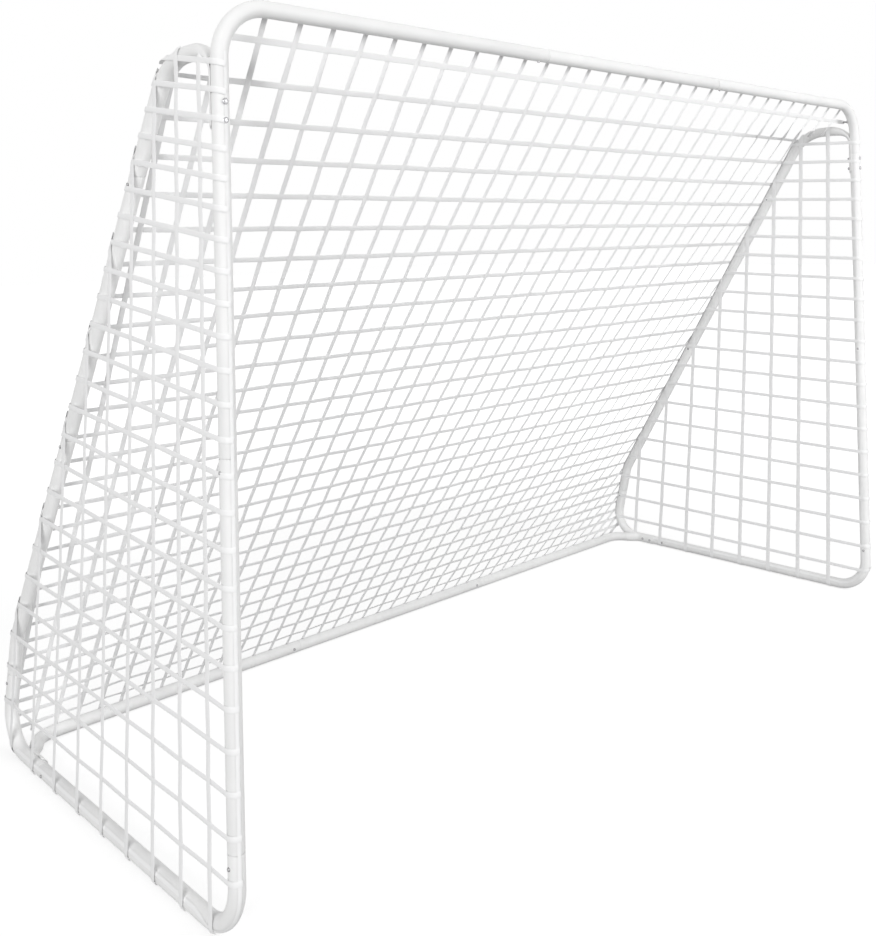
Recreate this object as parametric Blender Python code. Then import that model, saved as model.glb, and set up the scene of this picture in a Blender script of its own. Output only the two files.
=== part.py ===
"""Portable soccer goal: a knock-down frame of round steel tube with a square-mesh net.

X runs along the goal line, -Y is where the ball comes from, and Z is up from the ground.
The frame is drawn with the posts' axes at y = 0, then hung on one empty that moves the middle
of the goal's outline to the origin. Each tube but the last has a swaged end that slides into
the next one, where a sprung button locks it. The two arches and the rear bar end in crushed
saddles, which bolts and screws hold against the tubes that they hug.
"""

import math

import bmesh
import bpy
from mathutils import Vector

# Overall sizes, in metres, outside to outside. The depth runs from the posts' axes to the rear bar's.
GOAL_WIDTH = 2.743
GOAL_HEIGHT = 1.829
BASE_DEPTH = 1.108

# Tube stock and how one tube fits in the next. Facets lie at these radii, so sizes hold across flats.
TUBE_DIAMETER = 0.035
TUBE_WALL = 0.0012
SLIP_CLEARANCE = 0.0003
TOUCH_GAP = 0.0003
SPIGOT_LENGTH = 0.062
SHOULDER_LENGTH = 0.003
STRAIGHT_MARGIN = 0.0025

# Bends, as radii of the tube's axis.
FRONT_BEND = 0.108
REAR_BEND = 0.090
KINK_BEND = 0.120
ARCH_REAR_BEND = 0.140
ARCH_FRONT_BEND = 0.055
REAR_BAR_BEND = 0.075

# Where the tubes are parted. Heights are above the ground.
CROSSBAR_MIDDLE_LENGTH = 0.800
REAR_BAR_MIDDLE_LENGTH = 0.854
CORNER_DROP = 0.193
POST_MIDDLE_HEIGHT = 0.938
BASE_PART_SETBACK = 0.193
REAR_CORNER_HEIGHT = 0.213
BRACE_MIDDLE_HEIGHT = 0.890
ARCH_PART_DROP = 0.225

# The side frame's outline behind the post.
ARCH_DROP = 0.0835
ARCH_CORNER_DEPTH = 0.199
KINK_HEIGHT = 0.317
KINK_SETBACK = 0.035
REAR_CORNER_OVERHANG = 0.041

# Crushed ends: a saddle that hugs a round tube. Its corners lie at these angles, in degrees, from the
# middle of the side that it hugs. The ground saddle stops short of the ground.
CRUSH_THICKNESS = 0.0032
ARCH_SADDLE_ANGLES = (75, 45, 15, -15, -45, -75)
GROUND_SADDLE_ANGLES = (75, 45, 15, -15, -45, -51)
SADDLE_TIP_ROUND = 0.0128
SADDLE_LENGTH = 0.071
CRUSH_LENGTH = 0.050
ARCH_CRUSH_LENGTH = 0.086

# Fasteners.
FASTENER_SPACING = 0.036
FASTENER_TIP_MARGIN = 0.0175
BOLT_RADIUS = 0.0030
BOLT_HEAD_RADIUS = 0.0065
BOLT_HEAD_HEIGHT = 0.0036
BOLT_TAIL = 0.0020
NUT_ACROSS_FLATS = 0.010
NUT_HEIGHT = 0.005
SCREW_RADIUS = 0.0025
SCREW_HEAD_RADIUS = 0.0055
SCREW_HEAD_HEIGHT = 0.0030
SCREW_REACH = 0.0110
HOLE_CLEARANCE = 0.0003

# Sprung buttons.
BUTTON_RADIUS = 0.0040
BUTTON_HOLE_CLEARANCE = 0.0004
BUTTON_SETBACK = 0.026
BUTTON_PROUD = 0.0030
BUTTON_DOME = 0.0016
BUTTON_FLANGE_RADIUS = 0.0058
BUTTON_FLANGE_THICKNESS = 0.0010
BUTTON_TRAVEL = 0.0046
LEAF_WIDTH = 0.0080
LEAF_THICKNESS = 0.0008
LEAF_LENGTH = 0.026
LEAF_FOOT_GAP = 0.0006
LEAF_STEPS = 4

# Net. It has an edge cord all the way round. Of the real mesh's cords, the back shows every second one,
# and the sides every second upright one and every third level one.
NET_CORD_WIDTH = 0.008
NET_CORD_THICKNESS = 0.003
BACK_NET_PITCH_X = 0.1722
BACK_NET_PITCH_DOWN = 0.174
SIDE_NET_PITCH_Y = 0.250
SIDE_NET_PITCH_Z = 0.250
SIDE_NET_INSET = 0.0205
SIDE_NET_FIRST_LINE_Y = 0.146
SIDE_NET_FIRST_LINE_Z = 0.179
NET_CORNER_CUT = 0.055
SMALLEST_MESH = 0.012

# Facets.
TUBE_SIDES = 12
FACET_TURN = 2 * math.pi / TUBE_SIDES
BEND_STEP = math.radians(18)
FASTENER_SIDES = 10
HOLE_SIDES = 8
BUTTON_SIDES = 8
CRUSH_STEPS = 4

# What follows from the sizes above.
TUBE_RADIUS = TUBE_DIAMETER / 2
BORE_RADIUS = TUBE_RADIUS - TUBE_WALL
SPIGOT_RADIUS = BORE_RADIUS - SLIP_CLEARANCE
SPIGOT_BORE_RADIUS = SPIGOT_RADIUS - TUBE_WALL
POST_X = GOAL_WIDTH / 2 - TUBE_RADIUS
BAR_Z = GOAL_HEIGHT - TUBE_RADIUS
GROUND_Z = TUBE_RADIUS
CORNER_Z = GOAL_HEIGHT - CORNER_DROP
POST_FOOT_Z = GROUND_Z + FRONT_BEND + SPIGOT_LENGTH + STRAIGHT_MARGIN
ARCH_Z = BAR_Z - ARCH_DROP
ARCH_PART_Z = ARCH_Z - ARCH_PART_DROP
BESIDE = 2 * TUBE_RADIUS + TOUCH_GAP
SADDLE_INNER = TUBE_RADIUS + TOUCH_GAP
SADDLE_OUTER = SADDLE_INNER + CRUSH_THICKNESS
REAR_CORNER_Y = BASE_DEPTH + REAR_CORNER_OVERHANG
KINK_Y = BASE_DEPTH - KINK_SETBACK
BASE_PART_Y = BASE_DEPTH - BASE_PART_SETBACK
UP = Vector((0, 0, 1))
BACK = Vector((0, 1, 0))
BUTTON_SIDE = Vector((-1, 0, 0))


def material(name, colour, metallic, roughness):
    """A plain Principled material."""
    made = bpy.data.materials.new(name)
    made.use_nodes = True
    shader = made.node_tree.nodes["Principled BSDF"]
    shader.inputs["Base Color"].default_value = (*colour, 1)
    shader.inputs["Metallic"].default_value = metallic
    shader.inputs["Roughness"].default_value = roughness
    made.diffuse_color = (*colour, 1)
    return made


def add_object(name, mesh_builder, finish, parent):
    """Turns a bmesh into a named object with its outward normals, shading and material."""
    bmesh.ops.recalc_face_normals(mesh_builder, faces=mesh_builder.faces)
    mesh = bpy.data.meshes.new(name)
    mesh_builder.to_mesh(mesh)
    mesh_builder.free()
    mesh.shade_smooth()
    mesh.set_sharp_from_angle(angle=math.radians(40))
    mesh.materials.append(finish)
    made = bpy.data.objects.new(name, mesh)
    bpy.context.scene.collection.objects.link(made)
    made.parent = parent
    return made


def add_ring(builder, points):
    """Adds one closed ring of vertices."""
    return [builder.verts.new(point) for point in points]


def bridge(builder, first, second):
    """Joins two rings of the same count with quads."""
    count = len(first)
    for i in range(count):
        j = (i + 1) % count
        builder.faces.new((first[i], first[j], second[j], second[i]))


def cap(builder, ring):
    """Closes a flat ring."""
    builder.faces.new(ring)


def cap_strip(builder, ring):
    """Closes a ring whose two halves lie face to face, as a crushed tube's end does."""
    last = len(ring) - 1
    for i in range(len(ring) // 2 - 1):
        builder.faces.new((ring[i], ring[i + 1], ring[last - i - 1], ring[last - i]))


def lathe(builder, profile, sides, origin, axis):
    """Turns (radius, distance along the axis) points into a solid; end radii of 0 close it."""
    across = axis.orthogonal().normalized()
    other = axis.cross(across)
    rings = []
    for radius, along in profile:
        centre = origin + axis * along
        if radius == 0:
            rings.append([builder.verts.new(centre)])
            continue
        angles = (2 * math.pi * i / sides for i in range(sides))
        rings.append(add_ring(builder, [
            centre + (across * math.cos(angle) + other * math.sin(angle)) * radius for angle in angles
        ]))
    for first, second in zip(rings, rings[1:]):
        if len(first) == 1 or len(second) == 1:
            tip, ring = (first, second) if len(first) == 1 else (second, first)
            for i in range(sides):
                builder.faces.new((tip[0], ring[i], ring[(i + 1) % sides]))
        else:
            bridge(builder, first, second)


def bent_path(corners, bends):
    """Axis points and tangents of a tube: straight runs between corners, each corner an arc."""
    points = [Vector(corner) for corner in corners]
    stations = [(points[0], (points[1] - points[0]).normalized())]
    for before, corner, after, radius in zip(points, points[1:], points[2:], bends):
        incoming = (corner - before).normalized()
        outgoing = (after - corner).normalized()
        turn = incoming.angle(outgoing)
        start = corner - incoming * radius * math.tan(turn / 2)
        toward_centre = (outgoing - incoming * incoming.dot(outgoing)).normalized()
        centre = start + toward_centre * radius
        steps = max(2, math.ceil(turn / BEND_STEP))
        for step in range(steps + 1):
            angle = turn * step / steps
            point = centre - toward_centre * radius * math.cos(angle) + incoming * radius * math.sin(angle)
            tangent = incoming * math.cos(angle) + toward_centre * math.sin(angle)
            stations.append((point, tangent))
    stations.append((points[-1], (points[-1] - points[-2]).normalized()))
    return stations


def corner_radius(flat_radius):
    """Where a round section's corners lie, for facets that lie at this radius."""
    return flat_radius / math.cos(FACET_TURN / 2)


def tube_ring(point, tangent, side, radius):
    """A tube's section: facets face the path plane's normal, and towards and away from the bend."""
    other = side.cross(tangent)
    reach = corner_radius(radius)
    angles = (FACET_TURN * (i + 0.5) for i in range(TUBE_SIDES))
    return [point + (side * math.cos(angle) + other * math.sin(angle)) * reach for angle in angles]


def end_sections(point, outward, kind):
    """(point, outer radius, inner radius) at a tube's end, from inside the tube to its tip."""
    if kind == "mouth":
        return [(point - outward * TOUCH_GAP, TUBE_RADIUS, BORE_RADIUS)]
    return [
        (point - outward * SHOULDER_LENGTH, TUBE_RADIUS, BORE_RADIUS),
        (point, SPIGOT_RADIUS, SPIGOT_BORE_RADIUS),
        (point + outward * SPIGOT_LENGTH, SPIGOT_RADIUS, SPIGOT_BORE_RADIUS),
    ]


def add_tube(name, corners, bends, side, start, end, finish, parent):
    """A bent tube, open at both ends. Each end is a mouth or a swaged spigot."""
    builder = bmesh.new()
    path = bent_path(corners, bends)
    first_point, first_tangent = path[0]
    last_point, last_tangent = path[-1]
    sections = [
        (point, first_tangent, outer, inner)
        for point, outer, inner in reversed(end_sections(first_point, -first_tangent, start))
    ]
    sections += [(point, tangent, TUBE_RADIUS, BORE_RADIUS) for point, tangent in path[1:-1]]
    sections += [
        (point, last_tangent, outer, inner)
        for point, outer, inner in end_sections(last_point, last_tangent, end)
    ]
    skins = []
    for radius_index in (2, 3):
        rings = [add_ring(builder, tube_ring(s[0], s[1], side, s[radius_index])) for s in sections]
        for first, second in zip(rings, rings[1:]):
            bridge(builder, first, second)
        skins.append(rings)
    bridge(builder, skins[0][0], skins[1][0])
    bridge(builder, skins[0][-1], skins[1][-1])
    return add_object(name, builder, finish, parent)


def saddle_ring(host, away, lateral, angles, tip_round, tangent):
    """A crushed tube's section: facets that follow the host tube's, those of the far side first.

    The further a corner is from the saddle's middle, the further short of the tip it ends.
    """
    points = []
    for i in range(TUBE_SIDES):
        far_side = i < TUBE_SIDES // 2
        angle = math.radians(angles[i if far_side else TUBE_SIDES - 1 - i])
        radius = corner_radius(SADDLE_OUTER if far_side else SADDLE_INNER)
        radial = away * math.cos(angle) + lateral * math.sin(angle)
        points.append(host + radial * radius - tangent * (tip_round * (1 - math.cos(angle))))
    return points


def path_point(stations, distance):
    """The point and tangent this far back along a path from its last point."""
    for (near, near_tangent), (far, far_tangent) in zip(reversed(stations), reversed(stations[:-1])):
        length = (near - far).length
        if distance <= length:
            share = distance / length
            return near.lerp(far, share), near_tangent.lerp(far_tangent, share).normalized()
        distance -= length
    return stations[0]


def add_crushed_tube(name, corners, bends, side, host_of, away, angles, saddle_length, crush_length,
                     start, finish, parent):
    """A bent tube, open at its first end and crushed at its last one to a saddle round a host tube."""
    builder = bmesh.new()
    path = bent_path(corners, bends)
    first_point, first_tangent = path[0]
    crush_start = saddle_length + crush_length
    travelled = 0.0
    round_part = []
    for (near, _), (far, tangent) in zip(reversed(path), reversed(path[:-1])):
        travelled += (near - far).length
        if travelled > crush_start + TOUCH_GAP:
            round_part.insert(0, (far, tangent))
    round_part = round_part[1:] + [path_point(path, crush_start)]
    sections = [
        (point, first_tangent, outer, inner)
        for point, outer, inner in reversed(end_sections(first_point, -first_tangent, start))
    ]
    sections += [(point, tangent, TUBE_RADIUS, BORE_RADIUS) for point, tangent in round_part]
    outer_rings = [add_ring(builder, tube_ring(s[0], s[1], side, s[2])) for s in sections]
    inner_rings = [add_ring(builder, tube_ring(s[0], s[1], side, s[3])) for s in sections]
    for step in range(1, CRUSH_STEPS + 1):
        share = step / CRUSH_STEPS
        blend = share * share * (3 - 2 * share)
        point, tangent = path_point(path, crush_start - crush_length * share)
        round_ring = tube_ring(point, tangent, side, TUBE_RADIUS)
        flat_ring = saddle_ring(host_of(point), away, side, angles, 0.0, tangent)
        outer_rings.append(add_ring(builder, [a.lerp(b, blend) for a, b in zip(round_ring, flat_ring)]))
    tip, tangent = path[-1]
    outer_rings.append(add_ring(builder, saddle_ring(
        host_of(tip), away, side, angles, SADDLE_TIP_ROUND, tangent)))
    for rings in (outer_rings, inner_rings):
        for first, second in zip(rings, rings[1:]):
            bridge(builder, first, second)
    bridge(builder, outer_rings[0], inner_rings[0])
    cap(builder, inner_rings[-1])
    cap_strip(builder, outer_rings[-1])
    return add_object(name, builder, finish, parent)


def drill(tubes, name, origin, axis, radius, start, end, parent):
    """Cuts one round hole through each of the tubes, along the axis from start to end."""
    builder = bmesh.new()
    lathe(builder, [(0, start), (radius, start), (radius, end), (0, end)], HOLE_SIDES, origin, axis)
    cutter = add_object(name, builder, CUTTER_FINISH, parent)
    cutter.hide_render = True
    cutter.display_type = "WIRE"
    for tube in tubes:
        hole = tube.modifiers.new(name, "BOOLEAN")
        hole.operation = "DIFFERENCE"
        hole.solver = "EXACT"
        hole.object = cutter


def add_button(name, joint, inward, outward, tubes, finish, parent):
    """A sprung button in a tube joint, with its leaf, and the holes that it stands in.

    The button's origin is on the tube's axis. Its leaf runs from the flange to the far wall, short
    of it by the button's travel.
    """
    centre = joint + inward * BUTTON_SETBACK
    drill(tubes, name + "_hole", centre, outward, BUTTON_RADIUS + BUTTON_HOLE_CLEARANCE,
          SPIGOT_BORE_RADIUS / 2, TUBE_RADIUS * 1.5, parent)
    widest = BUTTON_FLANGE_RADIUS
    flange_top = math.sqrt(SPIGOT_BORE_RADIUS ** 2 - widest ** 2) - TOUCH_GAP
    flange_foot = flange_top - BUTTON_FLANGE_THICKNESS
    top = TUBE_RADIUS + BUTTON_PROUD
    builder = bmesh.new()
    lathe(builder, [
        (0, flange_foot),
        (widest, flange_foot),
        (widest, flange_top),
        (BUTTON_RADIUS, flange_top),
        (BUTTON_RADIUS, top - BUTTON_DOME),
        (BUTTON_RADIUS * 0.72, top - BUTTON_DOME * 0.3),
        (0, top),
    ], BUTTON_SIDES, Vector((0, 0, 0)), outward)
    button = add_object(name, builder, finish, parent)
    button.location = centre
    leaf = bmesh.new()
    leaf_foot = -math.sqrt(SPIGOT_BORE_RADIUS ** 2 - (LEAF_WIDTH / 2) ** 2)
    leaf_foot += BUTTON_TRAVEL + LEAF_FOOT_GAP + LEAF_THICKNESS / 2
    across = inward.cross(outward)
    rings = []
    for step in range(LEAF_STEPS + 1):
        share = step / LEAF_STEPS
        height = flange_foot + LEAF_THICKNESS / 2
        height += (leaf_foot - height) * (1 - math.cos(math.pi * share)) / 2
        along = inward * (LEAF_LENGTH * share - BUTTON_FLANGE_RADIUS * 0.6)
        middle = centre + along + outward * height
        rings.append(add_ring(leaf, [
            middle + across * (LEAF_WIDTH / 2 * a) + outward * (LEAF_THICKNESS / 2 * b)
            for a, b in ((-1, -1), (1, -1), (1, 1), (-1, 1))
        ]))
    for first, second in zip(rings, rings[1:]):
        bridge(leaf, first, second)
    cap(leaf, rings[0])
    cap(leaf, rings[-1])
    spring = add_object(name + "_leaf", leaf, finish, parent)
    spring.hide_render = True
    spring.display_type = "WIRE"
    union = button.modifiers.new("leaf", "BOOLEAN")
    union.operation = "UNION"
    union.solver = "EXACT"
    union.object = spring
    return button


def add_bolt(name, centre, axis, finish, parent):
    """A domed bolt that lies along the axis with its head at the far end, outside a tube."""
    builder = bmesh.new()
    seat = TUBE_RADIUS + TOUCH_GAP
    tail = SADDLE_OUTER + TOUCH_GAP + NUT_HEIGHT + BOLT_TAIL
    lathe(builder, [
        (0, -tail),
        (BOLT_RADIUS, -tail),
        (BOLT_RADIUS, seat),
        (BOLT_HEAD_RADIUS, seat),
        (BOLT_HEAD_RADIUS * 0.86, seat + BOLT_HEAD_HEIGHT * 0.6),
        (0, seat + BOLT_HEAD_HEIGHT),
    ], FASTENER_SIDES, Vector((0, 0, 0)), axis)
    bolt = add_object(name, builder, finish, parent)
    bolt.location = centre
    return bolt


def add_nut(name, centre, axis, finish, parent):
    """A hexagon nut on a bolt's tail, against the saddle."""
    builder = bmesh.new()
    across = axis.orthogonal().normalized()
    other = axis.cross(across)
    corner_radius = NUT_ACROSS_FLATS / 2 / math.cos(math.pi / 6)
    rings = {}
    for level in (0, NUT_HEIGHT):
        base = axis * (SADDLE_OUTER + TOUCH_GAP + level)
        for key, radius in (("outer", corner_radius), ("bore", BOLT_RADIUS + HOLE_CLEARANCE)):
            angles = (2 * math.pi * i / 12 for i in range(12))
            points = []
            for i, angle in enumerate(angles):
                reach = radius * math.cos(math.pi / 6) if key == "outer" and i % 2 else radius
                points.append(base + (across * math.cos(angle) + other * math.sin(angle)) * reach)
            rings[key, level] = add_ring(builder, points)
    bridge(builder, rings["outer", 0], rings["outer", NUT_HEIGHT])
    bridge(builder, rings["bore", 0], rings["bore", NUT_HEIGHT])
    bridge(builder, rings["outer", 0], rings["bore", 0])
    bridge(builder, rings["outer", NUT_HEIGHT], rings["bore", NUT_HEIGHT])
    nut = add_object(name, builder, finish, parent)
    nut.location = centre
    return nut


def add_screw(name, centre, axis, finish, parent):
    """A pan-head screw through a saddle and one wall of the tube under it."""
    builder = bmesh.new()
    seat = SADDLE_OUTER + TOUCH_GAP
    lathe(builder, [
        (0, seat - SCREW_REACH),
        (SCREW_RADIUS, seat - SCREW_REACH),
        (SCREW_RADIUS, seat),
        (SCREW_HEAD_RADIUS, seat),
        (SCREW_HEAD_RADIUS * 0.86, seat + SCREW_HEAD_HEIGHT * 0.6),
        (0, seat + SCREW_HEAD_HEIGHT),
    ], FASTENER_SIDES, Vector((0, 0, 0)), axis)
    screw = add_object(name, builder, finish, parent)
    screw.location = centre
    return screw


def clip(polygon, normal_u, normal_v, limit):
    """The part of a flat polygon where u * normal_u + v * normal_v <= limit."""
    kept = []
    for (u1, v1), (u2, v2) in zip(polygon, polygon[1:] + polygon[:1]):
        first = u1 * normal_u + v1 * normal_v - limit
        second = u2 * normal_u + v2 * normal_v - limit
        if first <= 0:
            kept.append((u1, v1))
        if (first < 0 < second) or (second < 0 < first):
            share = first / (first - second)
            kept.append((u1 + (u2 - u1) * share, v1 + (v2 - v1) * share))
    return kept


def mesh_gaps(outline, lines_u, lines_v):
    """The openings of a net: the outline's inside, cut into cells by cords along both directions."""
    half = NET_CORD_WIDTH / 2
    edges = []
    for (u1, v1), (u2, v2) in zip(outline, outline[1:] + outline[:1]):
        length = math.hypot(u2 - u1, v2 - v1)
        normal_u, normal_v = (v2 - v1) / length, (u1 - u2) / length
        edges.append((normal_u, normal_v, u1 * normal_u + v1 * normal_v - NET_CORD_WIDTH))
    far = 10.0
    bounds_u = [-far] + sorted(lines_u) + [far]
    bounds_v = [-far] + sorted(lines_v) + [far]
    for low_u, high_u in zip(bounds_u, bounds_u[1:]):
        for low_v, high_v in zip(bounds_v, bounds_v[1:]):
            cell = [(low_u + half, low_v + half), (high_u - half, low_v + half),
                    (high_u - half, high_v - half), (low_u + half, high_v - half)]
            for edge in edges:
                cell = clip(cell, *edge)
                if not cell:
                    break
            if len(cell) < 3:
                continue
            size_u = max(u for u, _ in cell) - min(u for u, _ in cell)
            size_v = max(v for _, v in cell) - min(v for _, v in cell)
            if min(size_u, size_v) > SMALLEST_MESH:
                yield cell


def add_net(name, outline, lines_u, lines_v, place, thickness_axis, finish, parent):
    """A flat net: a plate of cord thickness with one opening for each mesh."""
    builder = bmesh.new()
    edges = []
    for loop in [outline, *mesh_gaps(outline, lines_u, lines_v)]:
        ring = add_ring(builder, [place(u, v) - thickness_axis * (NET_CORD_THICKNESS / 2) for u, v in loop])
        edges += [builder.edges.new((a, b)) for a, b in zip(ring, ring[1:] + ring[:1])]
    bmesh.ops.triangle_fill(builder, use_beauty=True, use_dissolve=False, edges=edges)
    faces = list(builder.faces)
    grown = bmesh.ops.extrude_face_region(builder, geom=faces, use_keep_orig=True)
    lifted = [item for item in grown["geom"] if isinstance(item, bmesh.types.BMVert)]
    bmesh.ops.translate(builder, verts=lifted, vec=thickness_axis * NET_CORD_THICKNESS)
    return add_object(name, builder, finish, parent)


def lines_between(first, pitch, last):
    """Positions from first to last, a pitch apart."""
    return [first + pitch * i for i in range(int((last - first) / pitch) + 1)]


def side_outline():
    """The side net's outline along the tubes' axes, as (y, z) corners from the post's foot round.

    Its front edge leans back from the post's foot to the arch's leg.
    """
    return [
        (0.0, GROUND_Z),
        (REAR_CORNER_Y, GROUND_Z),
        (KINK_Y, KINK_HEIGHT),
        (ARCH_CORNER_DEPTH, ARCH_Z),
        (BESIDE, ARCH_Z),
    ]


def brace_point(z):
    """Where the straight brace between the kink and the arch is at this height."""
    share = (z - KINK_HEIGHT) / (ARCH_Z - KINK_HEIGHT)
    return KINK_Y + (ARCH_CORNER_DEPTH - KINK_Y) * share


def riser_point(z):
    """Where the steep run between the rear corner and the kink is at this height."""
    share = (z - GROUND_Z) / (KINK_HEIGHT - GROUND_Z)
    return REAR_CORNER_Y + (KINK_Y - REAR_CORNER_Y) * share


def build_side(side_name, sign, finishes, parent):
    """One side of the frame: post, base, rear corner, brace and arch, with its locks and bolts."""
    steel, spring, zinc = finishes
    x = sign * POST_X
    out = Vector((1, 0, 0))

    def at(y, z):
        return Vector((x, y, z))

    top = at(0, CORNER_Z)
    middle = at(0, POST_MIDDLE_HEIGHT)
    foot = at(0, POST_FOOT_Z)
    base_end = at(BASE_PART_Y, GROUND_Z)
    riser = at(riser_point(REAR_CORNER_HEIGHT), REAR_CORNER_HEIGHT)
    brace_middle = at(brace_point(BRACE_MIDDLE_HEIGHT), BRACE_MIDDLE_HEIGHT)
    arch_foot = at(brace_point(ARCH_PART_Z), ARCH_PART_Z)
    kink = at(KINK_Y, KINK_HEIGHT)
    ground_corner = at(REAR_CORNER_Y, GROUND_Z)
    arch_corner = at(ARCH_CORNER_DEPTH, ARCH_Z)

    post_upper = add_tube("post_upper_" + side_name, [top, middle], [], out, "mouth", "spigot", steel, parent)
    post_lower = add_tube("post_lower_" + side_name, [middle, foot], [], out, "mouth", "spigot", steel,
                          parent)
    base = add_tube("base_" + side_name, [foot, at(0, GROUND_Z), base_end], [FRONT_BEND], out,
                    "mouth", "mouth", steel, parent)
    rear_corner = add_tube("rear_corner_" + side_name, [base_end, ground_corner, riser], [REAR_BEND], out,
                           "spigot", "mouth", steel, parent)
    brace_lower = add_tube("brace_lower_" + side_name, [riser, kink, brace_middle], [KINK_BEND], out,
                           "spigot", "mouth", steel, parent)
    brace_upper = add_tube("brace_upper_" + side_name, [brace_middle, arch_foot], [], out,
                           "spigot", "mouth", steel, parent)

    bolt_high = CORNER_Z - FASTENER_TIP_MARGIN
    bolt_low = bolt_high - FASTENER_SPACING
    leg_end = at(BESIDE, bolt_low - FASTENER_TIP_MARGIN)
    arch_leg_corner = at(BESIDE, ARCH_Z)
    saddle_length = ARCH_Z - ARCH_FRONT_BEND - leg_end.z
    arch = add_crushed_tube(
        "arch_" + side_name, [arch_foot, arch_corner, arch_leg_corner, leg_end],
        [ARCH_REAR_BEND, ARCH_FRONT_BEND], out, lambda point: at(0, point.z), BACK,
        ARCH_SADDLE_ANGLES, saddle_length, ARCH_CRUSH_LENGTH, "spigot", steel, parent,
    )

    locks = (
        ("post_middle", middle, -UP, (post_upper, post_lower)),
        ("post_foot", foot, -UP, (post_lower, base)),
        ("base", base_end, -BACK, (base, rear_corner)),
        ("rear_corner", riser, (ground_corner - kink).normalized(), (rear_corner, brace_lower)),
        ("brace", brace_middle, (kink - arch_corner).normalized(), (brace_lower, brace_upper)),
        ("arch", arch_foot, (kink - arch_corner).normalized(), (brace_upper, arch)),
    )
    for lock_name, joint, inward, tubes in locks:
        add_button(f"button_{lock_name}_{side_name}", joint, inward, BUTTON_SIDE, tubes, spring, parent)

    crossbar_end = bpy.data.objects["crossbar_" + side_name]
    for place, z in (("upper", bolt_high), ("lower", bolt_low)):
        tag = f"{place}_{side_name}"
        drill((crossbar_end, post_upper, arch), f"bolt_hole_{tag}", at(0, z), BACK,
              BOLT_RADIUS + HOLE_CLEARANCE, -2 * TUBE_RADIUS, 2 * TUBE_RADIUS, parent)
        add_bolt("bolt_" + tag, at(0, z), -BACK, zinc, parent)
        add_nut("nut_" + tag, at(0, z), BACK, zinc, parent)

    rear_bar_end = bpy.data.objects["rear_bar_" + side_name]
    inward = Vector((-sign, 0, 0))
    screw_front = BASE_PART_Y + FASTENER_TIP_MARGIN * 2
    for place, y in (("front", screw_front), ("rear", screw_front + FASTENER_SPACING)):
        tag = f"{place}_{side_name}"
        drill((rear_bar_end, rear_corner), f"screw_hole_{tag}", at(y, GROUND_Z), inward,
              SCREW_RADIUS + HOLE_CLEARANCE, TUBE_RADIUS / 2, 2 * TUBE_RADIUS, parent)
        add_screw("screw_" + tag, at(y, GROUND_Z), inward, zinc, parent)


def build_bars(finishes, parent):
    """The crossbar and the rear ground bar, each in three lengths."""
    steel, spring, _ = finishes
    half_bar = CROSSBAR_MIDDLE_LENGTH / 2
    half_rear = REAR_BAR_MIDDLE_LENGTH / 2
    left, right = Vector((-half_bar, 0, BAR_Z)), Vector((half_bar, 0, BAR_Z))
    middle = add_tube("crossbar_middle", [left, right], [], BACK, "spigot", "spigot", steel, parent)
    rear_left = Vector((-half_rear, BASE_DEPTH, GROUND_Z))
    rear_right = Vector((half_rear, BASE_DEPTH, GROUND_Z))
    rear_middle = add_tube("rear_bar_middle", [rear_left, rear_right], [], UP, "spigot", "mouth",
                           steel, parent)
    for side_name, sign, bar_joint, rear_joint, rear_start in (
        ("left", -1, left, rear_left, "mouth"),
        ("right", 1, right, rear_right, "spigot"),
    ):
        x = sign * POST_X
        outward = Vector((sign, 0, 0))
        bar_end = add_tube(
            "crossbar_" + side_name, [bar_joint, Vector((x, 0, BAR_Z)), Vector((x, 0, CORNER_Z))],
            [FRONT_BEND], BACK, "mouth", "spigot", steel, parent,
        )
        leg_x = x - sign * BESIDE
        angles = GROUND_SADDLE_ANGLES if sign < 0 else [-angle for angle in reversed(GROUND_SADDLE_ANGLES)]
        saddle_end = Vector((leg_x, BASE_PART_Y + FASTENER_TIP_MARGIN, GROUND_Z))
        rear_end = add_crushed_tube(
            "rear_bar_" + side_name, [rear_joint, Vector((leg_x, BASE_DEPTH, GROUND_Z)), saddle_end],
            [REAR_BAR_BEND], -sign * UP, lambda point, x=x: Vector((x, point.y, GROUND_Z)), -outward,
            angles, SADDLE_LENGTH, CRUSH_LENGTH, rear_start, steel, parent,
        )
        add_button("button_crossbar_" + side_name, bar_joint, outward, -UP, (bar_end, middle),
                   spring, parent)
        add_button("button_rear_bar_" + side_name, rear_joint, Vector((-1, 0, 0)), -BACK,
                   (rear_end, rear_middle), spring, parent)


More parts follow.
